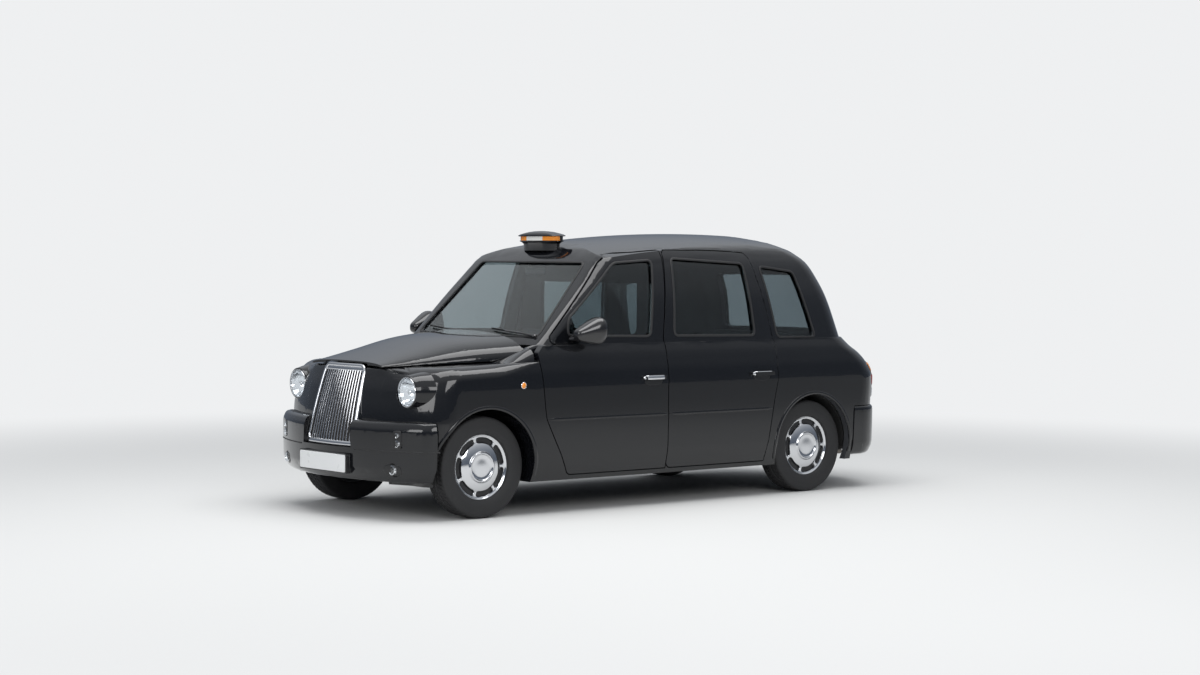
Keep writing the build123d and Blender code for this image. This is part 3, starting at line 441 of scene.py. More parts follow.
def softened(points, tris, region, rounds):
    """Relaxes the points of a region: each round moves them half way to their neighbours' mean."""
    edges = np.concatenate([tris[:, [0, 1]], tris[:, [1, 2]], tris[:, [2, 0]]])
    edges = np.unique(np.sort(edges, 1), axis=0)
    both = np.concatenate([edges, edges[:, ::-1]])
    count = np.bincount(both[:, 0], minlength=len(points))[:, None]
    for _ in range(rounds):
        total = np.stack([np.bincount(both[:, 0], points[both[:, 1], k], len(points)) for k in range(3)], -1)
        points = points + (total / np.maximum(count, 1) - points) * 0.5 * region[:, None]
    return points


def piece(name, points, tris, materials, slots, sharp=32, turned=False):
    """A mesh object from arrays of points and triangles, smooth except along edges past an angle.
    Turned shells have their faces turned outward first."""
    mesh = bpy.data.meshes.new(name)
    mesh.vertices.add(len(points))
    mesh.vertices.foreach_set("co", np.asarray(points, np.float32).ravel())
    mesh.loops.add(tris.size)
    mesh.loops.foreach_set("vertex_index", np.asarray(tris, np.int32).ravel())
    mesh.polygons.add(len(tris))
    mesh.polygons.foreach_set("loop_start", np.arange(len(tris), dtype=np.int32) * 3)
    for material in materials:
        mesh.materials.append(material)
    mesh.polygons.foreach_set("material_index", np.asarray(slots, np.int32))
    mesh.update(calc_edges=True)
    mesh.validate()
    if turned:
        work = bmesh.new()
        work.from_mesh(mesh)
        bmesh.ops.recalc_face_normals(work, faces=work.faces)
        work.to_mesh(mesh)
        work.free()
    mesh.polygons.foreach_set("use_smooth", np.ones(len(mesh.polygons), bool))
    mesh.set_sharp_from_angle(angle=math.radians(sharp))
    return placed(bpy.data.objects.new(name, mesh))


def fitted_out(made, body, slot, *replaced):
    """Hangs a piece on its body, and hides the CAD nodes that it stands for. Its finish, slot, is not used.
    """
    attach(made, body)
    if replaced:
        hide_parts(*replaced)
    return made


def finish_material(name, colour, roughness, metallic=0.0, grain=400.0, bump=0.03, spread=0.06, coat=0.0,
                    patch=1.2, edge=0.0, **sockets):
    """Principled finish with fine grain in its bump, broad patches in its roughness and colour, and
    an eased edge where asked."""
    made, tree, base, place = new_material(name)
    for key, value in {"Metallic": metallic, "Coat_Weight": coat, "Coat_Roughness": 0.03, **sockets}.items():
        base.inputs[key.replace("_", " ")].default_value = value
    broad = shader(tree, "ShaderNodeTexNoise", Scale=patch, Detail=5.0, Roughness=0.6)
    fine = shader(tree, "ShaderNodeTexNoise", Scale=grain, Detail=3.0, Roughness=0.55)
    for noise in (broad, fine):
        tree.links.new(place, noise.inputs["Vector"])
    rough = ranged(tree, broad.outputs["Fac"], 0.3, 0.7, max(roughness - spread, 0.0), roughness + spread)
    tree.links.new(rough, base.inputs["Roughness"])
    dim = [c * (1 - spread) for c in colour]
    bright = [min(c * (1 + spread) + 0.001, 1) for c in colour]
    tree.links.new(blended(tree, broad.outputs["Fac"], dim, bright), base.inputs["Base Color"])
    relief = shader(tree, "ShaderNodeBump", Strength=bump, Distance=0.0008)
    tree.links.new(fine.outputs["Fac"], relief.inputs["Height"])
    if edge:
        rounding = shader(tree, "ShaderNodeBevel", Radius=edge)
        rounding.samples = 4
        tree.links.new(rounding.outputs[0], relief.inputs["Normal"])
    tree.links.new(relief.outputs[0], base.inputs["Normal"])
    return made


black_paint = finish_material("black_body_paint", (0.005, 0.0055, 0.007), 0.12, grain=900, bump=0.010,
                              spread=0.03, coat=1.0, edge=0.003, Specular_IOR_Level=0.15, Coat_IOR=1.42)
cabin_lining = finish_material("cabin_lining", (0.040, 0.042, 0.047), 0.62, grain=300, bump=0.10)
jamb_paint = finish_material("jamb_paint", (0.008, 0.008, 0.009), 0.35, grain=300, bump=0.05)
chrome = finish_material("bright_chrome", (0.66, 0.67, 0.69), 0.07, metallic=1.0, grain=700, bump=0.012,
                         spread=0.03, patch=9.0)
WING_TOP_FRONT, WING_TOP_BACK = (2.300, 0.940), (1.193, 0.987)


def wing_top(x):
    """Height of the flat that the wings' tops lie in."""
    (front_x, front_z), (back_x, back_z) = WING_TOP_FRONT, WING_TOP_BACK
    return back_z + (front_z - back_z) * (x - back_x) / (front_x - back_x)


def wing_edge(points):
    """The rolled top of the wings: wide beside the lamps, tight at the doors and the nose."""
    x, y = points[:, 0], np.abs(points[:, 1])
    radius = 0.010 + 0.075 * step_up(x, 1.19, 1.55) * step_up(y, 0.40, 0.52)
    return wing_top(x), radius, 1


def bumper_top_edge(points):
    """The soft upper lip of a bumper."""
    return np.where(points[:, 0] > 0, 0.622, 0.598), np.full(len(points), 0.020), 1


def bumper_low_edge(points):
    """The tucked lower lip of a bumper."""
    return np.full(len(points), 0.240), np.full(len(points), 0.026), -1


def panel(name, node, body, form=None, materials=None, step=(0.11, 0.06, 0.022), edges=(), soften=None,
          keep=None, levels=None):
    """A painted panel from a CAD node: cut in strips, fitted to the smooth forms, with the wall's
    inner side lined. The lower form holds below the belt and the cabin's above it."""
    points, tris = gridded(*node_mesh(node), step, (0.021, 0.013, step[2] * 0.37), levels)
    depth = np.zeros(len(points))
    moved = points.copy()
    for mask, source in ((points[:, 2] <= BELT, form or LOWER), (points[:, 2] > BELT, form or UPPER)):
        if mask.any():
            moved[mask], depth[mask] = source.fit(points[mask], edges)
    if keep is not None:
        held = keep(points, depth)
        moved[held] = points[held]
    top = np.abs(points[:, 2] - straight_crown(points[:, 0], points[:, 1]))
    roofed = (points[:, 2] > 1.60) & (top < 0.06)
    rise = crown(moved[:, 0], moved[:, 1]) - straight_crown(points[:, 0], points[:, 1])
    moved[roofed, 2] += rise[roofed] * np.clip((0.06 - top[roofed]) / 0.02, 0, 1)
    if soften is not None:
        moved = softened(moved, tris, soften(points, depth, top), 45)
    inward = ((CABIN_HEART - moved[tris].mean(1)) * facing(moved, tris)).sum(1) > 0
    deep = (depth[tris].min(1) < -0.012) & inward & (top[tris].min(1) > 0.004)
    made = piece(name, moved, tris, materials or [black_paint, cabin_lining], np.where(deep, 1, 0))
    return fitted_out(made, body, "black_paint", node)


def roof_crease(points, depth, top):
    """Where the roof's walls meet its cap, near the outside of the shell."""
    near = (points[:, 2] > 1.70) & (depth > -0.06) & (top < 0.10)
    return near * step_up(points[:, 2], 1.712, 1.740) * step_up(0.10 - top, 0.0, 0.03)


def plinth_zone(points, depth):
    """The flat plinth behind the plate, which stays as the frame has it."""
    x, y, z = points.T
    return (x > 2.2) & (np.abs(y) < 0.269) & (z > 0.280) & (z < 0.410) & (depth > 0.0015)


def stepped(*spans):
    """Levels in spans of start, end and step."""
    return np.concatenate([np.arange(*span) for span in spans])


# Levels in x, y and z, closer where an edge is rolled
WING_Y = stepped((0.60, 0.78, 0.03), (0.78, 0.88, 0.0125))
WING_LEVELS = (
    stepped((0.971, 2.14, 0.05)), np.concatenate([-WING_Y[::-1], WING_Y]),
    stepped((0.2581, 0.84, 0.06), (0.8421, 0.987, 0.012)),
)
BUMPER_LEVELS = (
    stepped((-2.269, 2.28, 0.03)), stepped((-0.8558, 0.868, 0.03)),
    stepped((0.2431, 0.268, 0.006), (0.290, 0.57, 0.05), (0.5771, 0.622, 0.006)),
)
for end in ("front", "rear"):
    for side in ("left", "right"):
        panel(f"door_panel_{end}_{side}", f"door_{end}_{side}", f"door_{end}_{side}_body")
panel("shell_sides", "body_sides", "body")
panel("roof_panel", "roof", "body", step=(0.05, 0.03, 0.015), soften=roof_crease)
painted = [black_paint, jamb_paint]
panel("wing_panels", "front_wings", "body", materials=painted, edges=[wing_edge], levels=WING_LEVELS)
panel("scuttle_panel", "scuttle", "body", materials=painted)
panel("nose_cowl", "nose_panel", "body", materials=painted, step=(0.03, 0.03, 0.012), edges=[wing_edge])
panel("tail_panel", "rear_panel", "body", materials=painted)
panel("boot_lid_panel", "boot_lid", "boot_lid_body", materials=painted)
panel("bumper_mouldings", "bumpers", "body", form=BUMPER, materials=painted,
      edges=[bumper_top_edge, bumper_low_edge], keep=plinth_zone, levels=BUMPER_LEVELS)

# Bonnet
# A domed steel lid hinged at its rear edge, with a turned-down rim and a bare painted
# underside. Its section is a flattened arch that widens and rises towards the windscreen.
# Sections: x, half width, crown height
BONNET_SECTIONS = np.array([(2104, 402, 986), (1800, 492, 1060), (1480, 590, 1132), (1172, 672, 1166)]) * MM
BONNET_PROFILE = np.array([
    (1, 0), (0.97, 0.3), (0.9, 0.55), (0.72, 0.8), (0.48, 0.92), (0.24, 0.98), (0, 1),
])
BONNET_GAP = 0.007


def bonnet_fit(points):
    """Moves points from the bonnet's straight runs to a smooth arch: along each ray from the middle
    of the rim, in the ratio of the two sections, where the arch is (1 - |s|^2.6)^0.42."""
    rows = BONNET_SECTIONS[::-1]
    x = np.clip(points[:, 0], rows[0, 0], rows[-1, 0])
    rim = wing_top(x) + BONNET_GAP
    wide, tall = np.interp(x, rows[:, 0], rows[:, 1]), np.interp(x, rows[:, 0], rows[:, 2]) - rim
    curve = smooth_rows(x, rows)
    smooth_wide, smooth_tall = curve[:, 0], curve[:, 1] - rim
    across, rise = points[:, 1] / wide, (points[:, 2] - rim) / tall
    share = np.linspace(0, 1, 2000)
    legs = np.linspace(0, 1, len(BONNET_PROFILE))
    run = np.stack([np.interp(share, legs, BONNET_PROFILE[:, k]) for k in (0, 1)], -1)
    s = np.cos(share * math.pi / 2)
    arch = np.stack([s, (1 - s**2.6) ** 0.42], -1)
    bearing = np.arctan2(np.maximum(rise, 0), np.abs(across))
    radii = [
        np.interp(bearing, np.arctan2(line[:, 1], line[:, 0]), np.hypot(line[:, 0], line[:, 1]))
        for line in (run, arch)
    ]
    ratio = radii[1] / radii[0]
    out = points.copy()
    out[:, 1] = across * ratio * smooth_wide
    out[:, 2] = rim + np.where(rise > 0, rise * ratio * smooth_tall, rise * tall)
    return out


BONNET_STEPS = np.array((35, 22, 9)) * MM
points, tris = gridded(*node_mesh("bonnet"), BONNET_STEPS, BONNET_STEPS * 0.41)
moved = bonnet_fit(points)
underside = facing(moved, tris)[:, 2] < -0.35
bonnet = piece("bonnet_lid", moved, tris, painted, np.where(underside, 1, 0))
fitted_out(bonnet, "bonnet_body", "black_paint", "bonnet")

# Glass
# Toughened panes, tinted in the doors and rear and clearer in the windscreen. The door
# panes ride in their doors, and the others are bonded to the shell.


def glass_material(name, dim, bright, ior=1.45):
    """Clear polished glass: its tint drifts a little, and its face has a faint long wave."""
    made, tree, base, place = new_material(name)
    for key, value in {"Transmission Weight": 1.0, "Roughness": 0.0, "IOR": ior}.items():
        base.inputs[key].default_value = value
    drift = shader(tree, "ShaderNodeTexNoise", Scale=1.6, Detail=1.0)
    wave = shader(tree, "ShaderNodeTexNoise", Scale=4.0, Detail=0.0)
    for noise in (drift, wave):
        tree.links.new(place, noise.inputs["Vector"])
    tree.links.new(blended(tree, drift.outputs["Fac"], dim, bright), base.inputs["Base Color"])
    relief = shader(tree, "ShaderNodeBump", Strength=0.02, Distance=0.002)
    tree.links.new(wave.outputs["Fac"], relief.inputs["Height"])
    tree.links.new(relief.outputs[0], base.inputs["Normal"])
    return made


tinted = glass_material("tinted_glass", (0.30, 0.35, 0.37), (0.34, 0.39, 0.41))
screen_glass = glass_material("screen_glass", (0.52, 0.58, 0.59), (0.56, 0.62, 0.63))
PANE_STEP = 0.034


def pane(name, node, body):
    """A CAD pane fitted to the smooth cabin form, with the clearer glass ahead of the doors."""
    points, tris = gridded(*node_mesh(node), [PANE_STEP] * 3, [0.011] * 3)
    moved, _ = UPPER.fit(points)
    middle = moved[tris].mean(1)
    screen = (middle[:, 0] > 0.4) & (np.abs(middle[:, 1]) < 0.68) & (node == "fixed_glass")
    made = piece(name, moved, tris, [tinted, screen_glass], np.where(screen, 1, 0), sharp=40)
    return fitted_out(made, body, "window_glass", node)


for end in ("front", "rear"):
    for side in ("left", "right"):
        pane(f"door_pane_{end}_{side}", f"door_glass_{end}_{side}", f"door_{end}_{side}_body")
pane("fixed_panes", "fixed_glass", "body")

# Seals
# Black extruded rubber lips that close the edge of each opening against its pane, bedded
# in the paint and following the body's curve.
rubber = finish_material("seal_rubber", (0.012, 0.012, 0.013), 0.55, grain=500, bump=0.12)
WINDOW_CORNER, LIP_STEP = 0.038, 0.014
SIDES = (("left", 1), ("right", -1))
FRONT_DOOR_WINDOW = np.array([(896, 1143), (884, 1252), (470, 1620), (140, 1640), (226, 1132)]) * MM
REAR_DOOR_WINDOW = np.array([(24, 1132), (-30, 1652), (-690, 1618), (-728, 1122)]) * MM
QUARTER_WINDOW = np.array([(-952, 1104), (-848, 1600), (-1190, 1562), (-1358, 1096)]) * MM
WINDSCREEN = np.array([(662, 1136), (568, 1622), (-568, 1622), (-662, 1136)]) * MM
REAR_WINDOW = np.array([(560, 1130), (460, 1540), (-460, 1540), (-560, 1130)]) * MM


def shell(points, around=True, along=False):
    """Triangles between the rows and columns of a grid of points, closed in one or both ways, with
    corners that meet joined."""
    rows, cols = points.shape[:2]
    i, j = np.meshgrid(np.arange(rows - (not along)), np.arange(cols - (not around)), indexing="ij")
    a, b = i * cols + j, i * cols + (j + 1) % cols
    k = (i + 1) % rows
    c, d = k * cols + (j + 1) % cols, k * cols + j
    tris = np.stack([np.stack([a, b, c], -1), np.stack([a, c, d], -1)], -2).reshape(-1, 3)
    return weld(points.reshape(-1, 3), tris)


def around(count):
    """Angles of a full turn in equal steps."""
    return np.linspace(0, 2 * math.pi, count, endpoint=False)


def bent(value, power):
    """A sine or cosine bent from a circle's to a superellipse's: its size to the 2/p."""
    return np.sign(value) * np.abs(value) ** (2 / power)


def capped(rows):
    """Rows of a tube with each open end closed on its middle."""
    first, last = (np.broadcast_to(row.mean(0), row.shape)[None] for row in (rows[0], rows[-1]))
    return np.concatenate([first, rows, last])


def lathe(profile, centre, axis=(0, 1, 0), turns=64):
    """A turned surface: rows of distance along the axis and radius, carried round it."""
    axis = np.array(axis, float)
    side = unit(np.cross(axis, (0, 0, 1)))
    rise = np.cross(side, axis)
    angle = around(turns)[None, :, None]
    along, radius = np.array(profile, float).T[..., None, None]
    points = np.array(centre) + along * axis + radius * (np.cos(angle) * side + np.sin(angle) * rise)
    return shell(points)


def oval(width, height, power=2.0, count=12):
    """A closed section: |x/a|^p + |y/b|^p = 1, as widths across and out."""
    angle = around(count)
    return np.stack([bent(np.cos(angle), power) * width / 2, bent(np.sin(angle), power) * height / 2], -1)


def rounded(corners, reach, count=7):
    """A closed outline whose corners are parabolas between points at a reach on both sides."""
    corners = np.array(corners, float)
    before = unit(np.roll(corners, 1, 0) - corners)[:, None] * reach
    after = unit(np.roll(corners, -1, 0) - corners)[:, None] * reach
    t = np.linspace(0, 1, count)[None, :, None]
    bend = corners[:, None] + before * (1 - t) ** 2 + after * t**2
    return bend.reshape(-1, corners.shape[1])


def spaced(path, step, closed=False):
    """A path measured off again in equal lengths near a step."""
    if closed:
        path = np.concatenate([path, path[:1]])
    length = np.concatenate([[0], np.cumsum(np.linalg.norm(np.diff(path, axis=0), axis=1))])
    count = max(int(length[-1] / step), 3)
    places = np.linspace(0, length[-1], count, endpoint=not closed)
    return np.stack([np.interp(places, length, path[:, k]) for k in range(path.shape[1])], -1)


def sweep(path, out, section, closed=False, scale=1.0):
    """A section carried along a path: its first value goes across, its second along the outward
    way. Open ends close on their middle."""
    path = np.array(path, float)
    ahead = unit(np.roll(path, -1, 0) - np.roll(path, 1, 0)) if closed else unit(np.gradient(path, axis=0))
    across = unit(np.cross(ahead, np.broadcast_to(out, path.shape)))
    outward = np.cross(across, ahead)
    size = np.broadcast_to(scale, len(path))[:, None, None]
    rows = path[:, None] + size * (section[:, :1] * across[:, None] + section[:, 1:] * outward[:, None])
    return shell(rows if closed else capped(rows), True, closed)


def wall_at(form, sought, z, s, axis):
    """The wall of a form at heights z: its smooth outline, sampled at places s, is read where its
    x (axis 0, falling) or y (axis 1, rising) reaches the sought value, and gives the other."""
    places = form.smooth(np.repeat(z, len(s)), np.tile(s, len(z))).reshape(len(z), len(s), 2)
    short = places[..., 0] > sought[:, None] if axis == 0 else places[..., 1] < sought[:, None]
    k = np.clip(short.sum(1), 1, len(s) - 1)
    pick = np.arange(len(z))
    a, b = places[pick, k - 1], places[pick, k]
    return a[:, 1 - axis] + (b - a)[:, 1 - axis] * (sought - a[:, axis]) / (b - a)[:, axis]


def slopes_of(wall, u, z, small=0.004):
    """How fast a wall falls away along its level and with height."""
    return (
        (wall(u - small, z) - wall(u + small, z)) / (2 * small),
        (wall(u, z - small) - wall(u, z + small)) / (2 * small),
    )


def on_side(form, x, z, proud=0.0, side=1):
    """Points of a form's side at x and z, and the way out of it there."""
    def wall(x, z):
        return wall_at(form, x, z, np.linspace(3, 20.9, 240), 0)

    x, z = np.asarray(x, float), np.asarray(z, float)
    slope_x, slope_z = slopes_of(wall, x, z)
    out = unit(np.stack([slope_x, np.ones_like(x), slope_z], -1))
    points = np.stack([x, wall(x, z), z], -1) + out * proud
    return points * (1, side, 1), out * (1, side, 1)


def on_end(form, y, z, ahead=1, proud=0.0):
    """Points of a form's nose or tail at y and z, and the way out of it there."""
    def wall(y, z):
        s = np.linspace(0, 8.5, 160)
        return wall_at(form, np.abs(y), z, s if ahead > 0 else HALF_RUNS - s, 1)

    y, z = np.asarray(y, float), np.asarray(z, float)
    slope_y, slope_z = slopes_of(wall, y, z)
    out = unit(np.stack([np.full_like(y, ahead), ahead * slope_y, ahead * slope_z], -1))
    return np.stack([wall(y, z), y, z], -1) + out * proud, out


def assembled(name, parts, materials, body, slot, *replaced, sharp=35):
    """One piece of several closed shells, each with the number of its finish."""
    points = np.concatenate([part[0] for part in parts])
    starts = np.cumsum([0] + [len(part[0]) for part in parts[:-1]])
    tris = np.concatenate([part[1] + start for part, start in zip(parts, starts)])
    slots = np.concatenate([np.broadcast_to(part[2], len(part[1])) for part in parts])
    made = piece(name, points, tris, materials, slots, sharp=sharp, turned=True)
    return fitted_out(made, body, slot, *replaced)


LIP = oval(0.017, 0.009, 3.0)


def lip(outline, wall, *place):
    """A lip round a window: its outline with rounded corners, laid on a side or an end."""
    path = spaced(rounded(outline, WINDOW_CORNER), LIP_STEP, True)
    return (*sweep(*wall(UPPER, path[:, 0], path[:, 1], *place), LIP, True), 0)


for name, sign in SIDES:
    for end, outline in (("front", FRONT_DOOR_WINDOW), ("rear", REAR_DOOR_WINDOW)):
        assembled(f"window_seal_{end}_{name}", [lip(outline, on_side, 0.0, sign)], [rubber],
                  f"door_{end}_{name}_body", "black_plastic")
fixed_lips = [lip(QUARTER_WINDOW, on_side, 0.0, sign) for _, sign in SIDES]
fixed_lips += [lip(WINDSCREEN, on_end, 1), lip(REAR_WINDOW, on_end, -1)]
assembled("fixed_seals", fixed_lips, [rubber], "body", "black_plastic")

# Side mouldings and arch lips
# A slim black moulding along the doors and rear quarter, and a rolled lip round each wheel
# arch, both in body paint.
MOULDING_Z, MOULDING = 0.612, oval(0.024, 0.009, 2.6)
MOULDING_RUNS = {"door_front": (1.138, 0.126), "door_rear": (0.110, -0.853)}
ARCH_R, ARCH_LIP, AXLE_Z = 0.382, oval(0.026, 0.016, 2.4), 0.325
FRONT_AXLE_X, REAR_AXLE_X = 1.610, -1.276
for name, sign in SIDES:
    for door, (start, end) in MOULDING_RUNS.items():
        path, out = on_side(LOWER, np.linspace(start, end, 40), np.full(40, MOULDING_Z), 0.0, sign)
        ends = np.clip(np.minimum(np.arange(40), np.arange(40)[::-1]) / 2.0, 0.25, 1)
        assembled(f"moulding_{door}_{name}", [(*sweep(path, out, MOULDING, scale=ends), 0)], [black_paint],
                  f"{door}_{name}_body", "black_paint")
arches = []
for _, sign in SIDES:
    for axle_x, first, last in ((FRONT_AXLE_X, -12, 190), (REAR_AXLE_X, -10, 188)):
        angle = np.radians(np.linspace(first, last, 90))
        x, z = axle_x + ARCH_R * np.cos(angle), AXLE_Z + ARCH_R * np.sin(angle)
        arches.append((*sweep(*on_side(LOWER, x, z, -0.001, sign), ARCH_LIP), 0))
assembled("arch_lips", arches, [black_paint], "body", "black_paint")

# Scuttle corners
# Painted fairings that carry each wing's top up to the foot of the windscreen pillar, beside
# the bonnet's rear corner and ahead of the door's.
FAIRING_X, FAIRING_LONG, FAIRING_TOP_Z, FAIRING_SINK = 1.460, 0.360, 1.094, 0.004
DOOR_CORNER_X, INSIDE_DOOR_Y, BONNET_CLEARANCE = 1.2175, 0.772, 0.013
u, v = np.meshgrid(np.linspace(0, 1, 60), np.linspace(0, 1, 40), indexing="ij")
x = FAIRING_X - FAIRING_LONG * u
base_z = wing_top(x)
rise = (FAIRING_TOP_Z - base_z) * step_up(1.450 - x, 0.0, 0.310)
inner = np.interp(x, BONNET_SECTIONS[::-1, 0], BONNET_SECTIONS[::-1, 1]) + BONNET_CLEARANCE
wall, _ = on_side(LOWER, x.ravel(), np.minimum(base_z + rise, 1.085).ravel())
beside_door = x < DOOR_CORNER_X
wing_y = wall[:, 1].reshape(x.shape) - 0.0005 - 0.075 * step_up(x, 1.19, 1.55)
outer = np.where(beside_door, INSIDE_DOOR_Y, wing_y)
y = inner + (outer - inner) * v
near_in = np.clip((y - inner) / 0.055, 0, 1)
near_out = np.clip((outer - y) / np.where(beside_door, 0.03, 0.08), 0, 1)
hill = np.sqrt(1 - (1 - near_in) ** 2) * np.sqrt(1 - (1 - near_out) ** 2)
z = base_z - FAIRING_SINK + (rise + FAIRING_SINK) * hill * (1 - 0.35 * (1 - v) ** 2)
foot = np.minimum(z - 0.012, base_z - FAIRING_SINK)
half_fairing = np.concatenate([np.stack([x, y, z], -1), np.stack([x, y, foot], -1)[:, ::-1]], 1)
fairings = [(*shell(capped(half_fairing * (1, sign, 1))), 0) for _, sign in SIDES]
assembled("scuttle_corners", fairings, [black_paint], "body", "black_paint", sharp=50)

# Grille
# A chromed pressed surround with upright chromed slats that fan a little, over a dark
# mesh, standing in the nose and leaning back at the top.
GRILLE_FOOT, GRILLE_TOP = (0.272, 0.448), (0.231, 0.968)
GRILLE_FOOT_X, GRILLE_TOP_X, NOSE_R = 2.256, 2.122, 1.73
GRILLE_RIM, GRILLE_BAR, SLATS, LEAN = 0.026, 0.034, 15, (1, 0, 0.25)
mesh_finish = finish_material("grille_mesh", (0.060, 0.054, 0.050), 0.38, metallic=0.5, grain=260, bump=0.6)


def grille_face(y, z, back=0.0):
    """Points of the leaning, bowed front of the grille at y and z, set back by a depth."""
    share = (z - GRILLE_FOOT[1]) / (GRILLE_TOP[1] - GRILLE_FOOT[1])
    bow = 0.010 * 4 * share * (1 - share)
    x = GRILLE_FOOT_X + (GRILLE_TOP_X - GRILLE_FOOT_X) * share + bow - y**2 / (2 * NOSE_R) - back
    return np.stack([x, y, z], -1)


def grille_half(z):
    """Half the grille's width at a height."""
    return np.interp(z, (GRILLE_FOOT[1], GRILLE_TOP[1]), (GRILLE_FOOT[0], GRILLE_TOP[0]))


inset = GRILLE_RIM / 2
corners = [(GRILLE_FOOT[0] - inset, GRILLE_FOOT[1] + 0.016), (GRILLE_TOP[0] - inset, GRILLE_TOP[1] - inset)]
frame_line = [(-y, z) for y, z in corners] + corners[::-1]
path = spaced(rounded(frame_line, 0.045), 0.010, True)
surround = sweep(grille_face(*path.T, 0.018), LEAN, oval(GRILLE_RIM, 0.038, 2.8, 20), True)
bar_y = np.linspace(-GRILLE_FOOT[0] + 0.001, GRILLE_FOOT[0] - 0.001, 40)
foot_bar = sweep(grille_face(bar_y, np.full(40, GRILLE_FOOT[1] + 0.017), 0.016), (1, 0, 0.1),
                 oval(GRILLE_BAR, 0.036, 3.4, 20))
top_y = np.linspace(-0.205, 0.205, 30)
top_bar = sweep(grille_face(top_y, np.full(30, GRILLE_TOP[1] - 0.030), 0.019), LEAN,
                oval(0.040, 0.026, 3.0, 16))
grille_parts = [(*surround, 0), (*foot_bar, 0), (*top_bar, 0)]
slat_z = np.linspace(GRILLE_FOOT[1] + 0.026, GRILLE_TOP[1] - 0.036, 24)
for i in range(SLATS):
    share = (i - (SLATS - 1) / 2) / ((SLATS + 1) / 2)
    slat = grille_face(share * (grille_half(slat_z) - GRILLE_RIM), slat_z, 0.014)
    grille_parts.append((*sweep(slat, LEAN, oval(0.0085, 0.012, 2.2, 12)), 0))
grid_z, grid_y = np.meshgrid(
    np.linspace(GRILLE_FOOT[1] + 0.02, GRILLE_TOP[1] - 0.02, 30), np.linspace(-1, 1, 16), indexing="ij",
)
grid_y = grid_y * (grille_half(grid_z) - 0.014)
mesh_face, mesh_back = grille_face(grid_y, grid_z, 0.026), grille_face(grid_y, grid_z, 0.030)
grille_parts.append((*shell(capped(np.concatenate([mesh_face, mesh_back[:, ::-1]], 1))), 1))
assembled("grille_chrome", grille_parts, [chrome, mesh_finish], "body", "chrome_trim", "grille")

# Headlamps
# Round lamps facing straight ahead: a body-coloured pod that runs out of the wing, a bright
# rim, a clear domed lens and a faceted silvered bowl with its bulb.
HEADLAMP_Y, HEADLAMP_Z, HEADLAMP_X = 0.628, 0.808, 2.066
clear_lens = glass_material("clear_lens", (0.92, 0.94, 0.95), (0.95, 0.97, 0.98), 1.40)
bowl = finish_material("silvered_bowl", (0.80, 0.82, 0.85), 0.10, metallic=1.0, grain=70, bump=0.9,
                       spread=0.05, patch=30.0)
dark_housing = finish_material("lamp_housing", (0.010, 0.010, 0.011), 0.30, grain=400, bump=0.06)


def pod_rows(centre, side):
    """Ovals behind the lamp that widen and slide outboard into the wing, after the rolled front
    edge and the short wall inside it."""
    rows = MM * np.array([
        (-125, 0, 0, 0), (-125, 152, 128, 28), (-85, 139, 121, 20), (-50, 124, 114, 11), (-24, 112, 108, 4),
        (-6, 105.5, 104.5, 0), (2, 103.5, 103, 0), (5, 100.5, 100.5, 0), (5, 98, 98, 0), (1, 94.5, 94.5, 0),
        (-16, 93.5, 93.5, 0), (-100, 90, 90, 0), (-104, 0, 0, 0),
    ])
    along, wide, tall, slide = rows.T[..., None]
    angle = around(96)[None]
    across, rise = side * slide + wide * np.cos(angle), tall * np.sin(angle)
    return np.stack([along + 0 * angle, across, rise], -1) + np.array(centre)


FORWARD = (1, 0, 0)
rim = MM * np.array([(-6, 95), (4, 96.5), (8.5, 94.5), (8.5, 90.5), (2, 88.5), (-6, 89), (-6, 95)])
lens = MM * np.array([
    (20, 0), (19.5, 20), (18, 40), (15, 60), (10, 78), (3, 89.2), (-1, 89), (7, 77),
    (11.8, 60), (14.8, 40), (16.3, 20), (16.8, 0),
])
dish = MM * np.array([
    (-50, 12), (-72, 20), (-66, 40), (-48, 62), (-20, 80), (-3, 88.5), (-6, 89.5), (-24, 83),
    (-54, 65), (-74, 42), (-80, 0),
])
bulb = MM * np.array([(-70, 0), (-70, 11), (-30, 11), (-24, 16), (-14, 16), (-10, 10), (-8, 0)])
headlamps = []
for _, sign in SIDES:
    centre = (HEADLAMP_X, sign * HEADLAMP_Y, HEADLAMP_Z)
    headlamps.append((*shell(pod_rows(centre, sign)), 0))
    for profile, turns, finish in ((rim, 96, 1), (lens, 96, 2), (dish, 96, 3), (bulb, 32, 1)):
        headlamps.append((*lathe(profile, centre, FORWARD, turns), finish))
assembled("headlamp_units", headlamps, [black_paint, chrome, clear_lens, bowl], "body", "clear_lens",
          "headlamps")

# Small lamps
# Side and fog lamps let into the bumper, each a clear lens and silvered cup in a dark
# housing, an amber repeater on each wing, and upright tail lamps of three colours.
amber_lens = finish_material("amber_lens", (0.85, 0.28, 0.02), 0.08, grain=90, bump=0.12, coat=0.6)
red_lens = finish_material("red_lens", (0.45, 0.008, 0.008), 0.08, grain=90, bump=0.12, coat=0.6)
pale_lens = finish_material("pale_lens", (0.62, 0.63, 0.64), 0.10, grain=90, bump=0.15, coat=0.6)


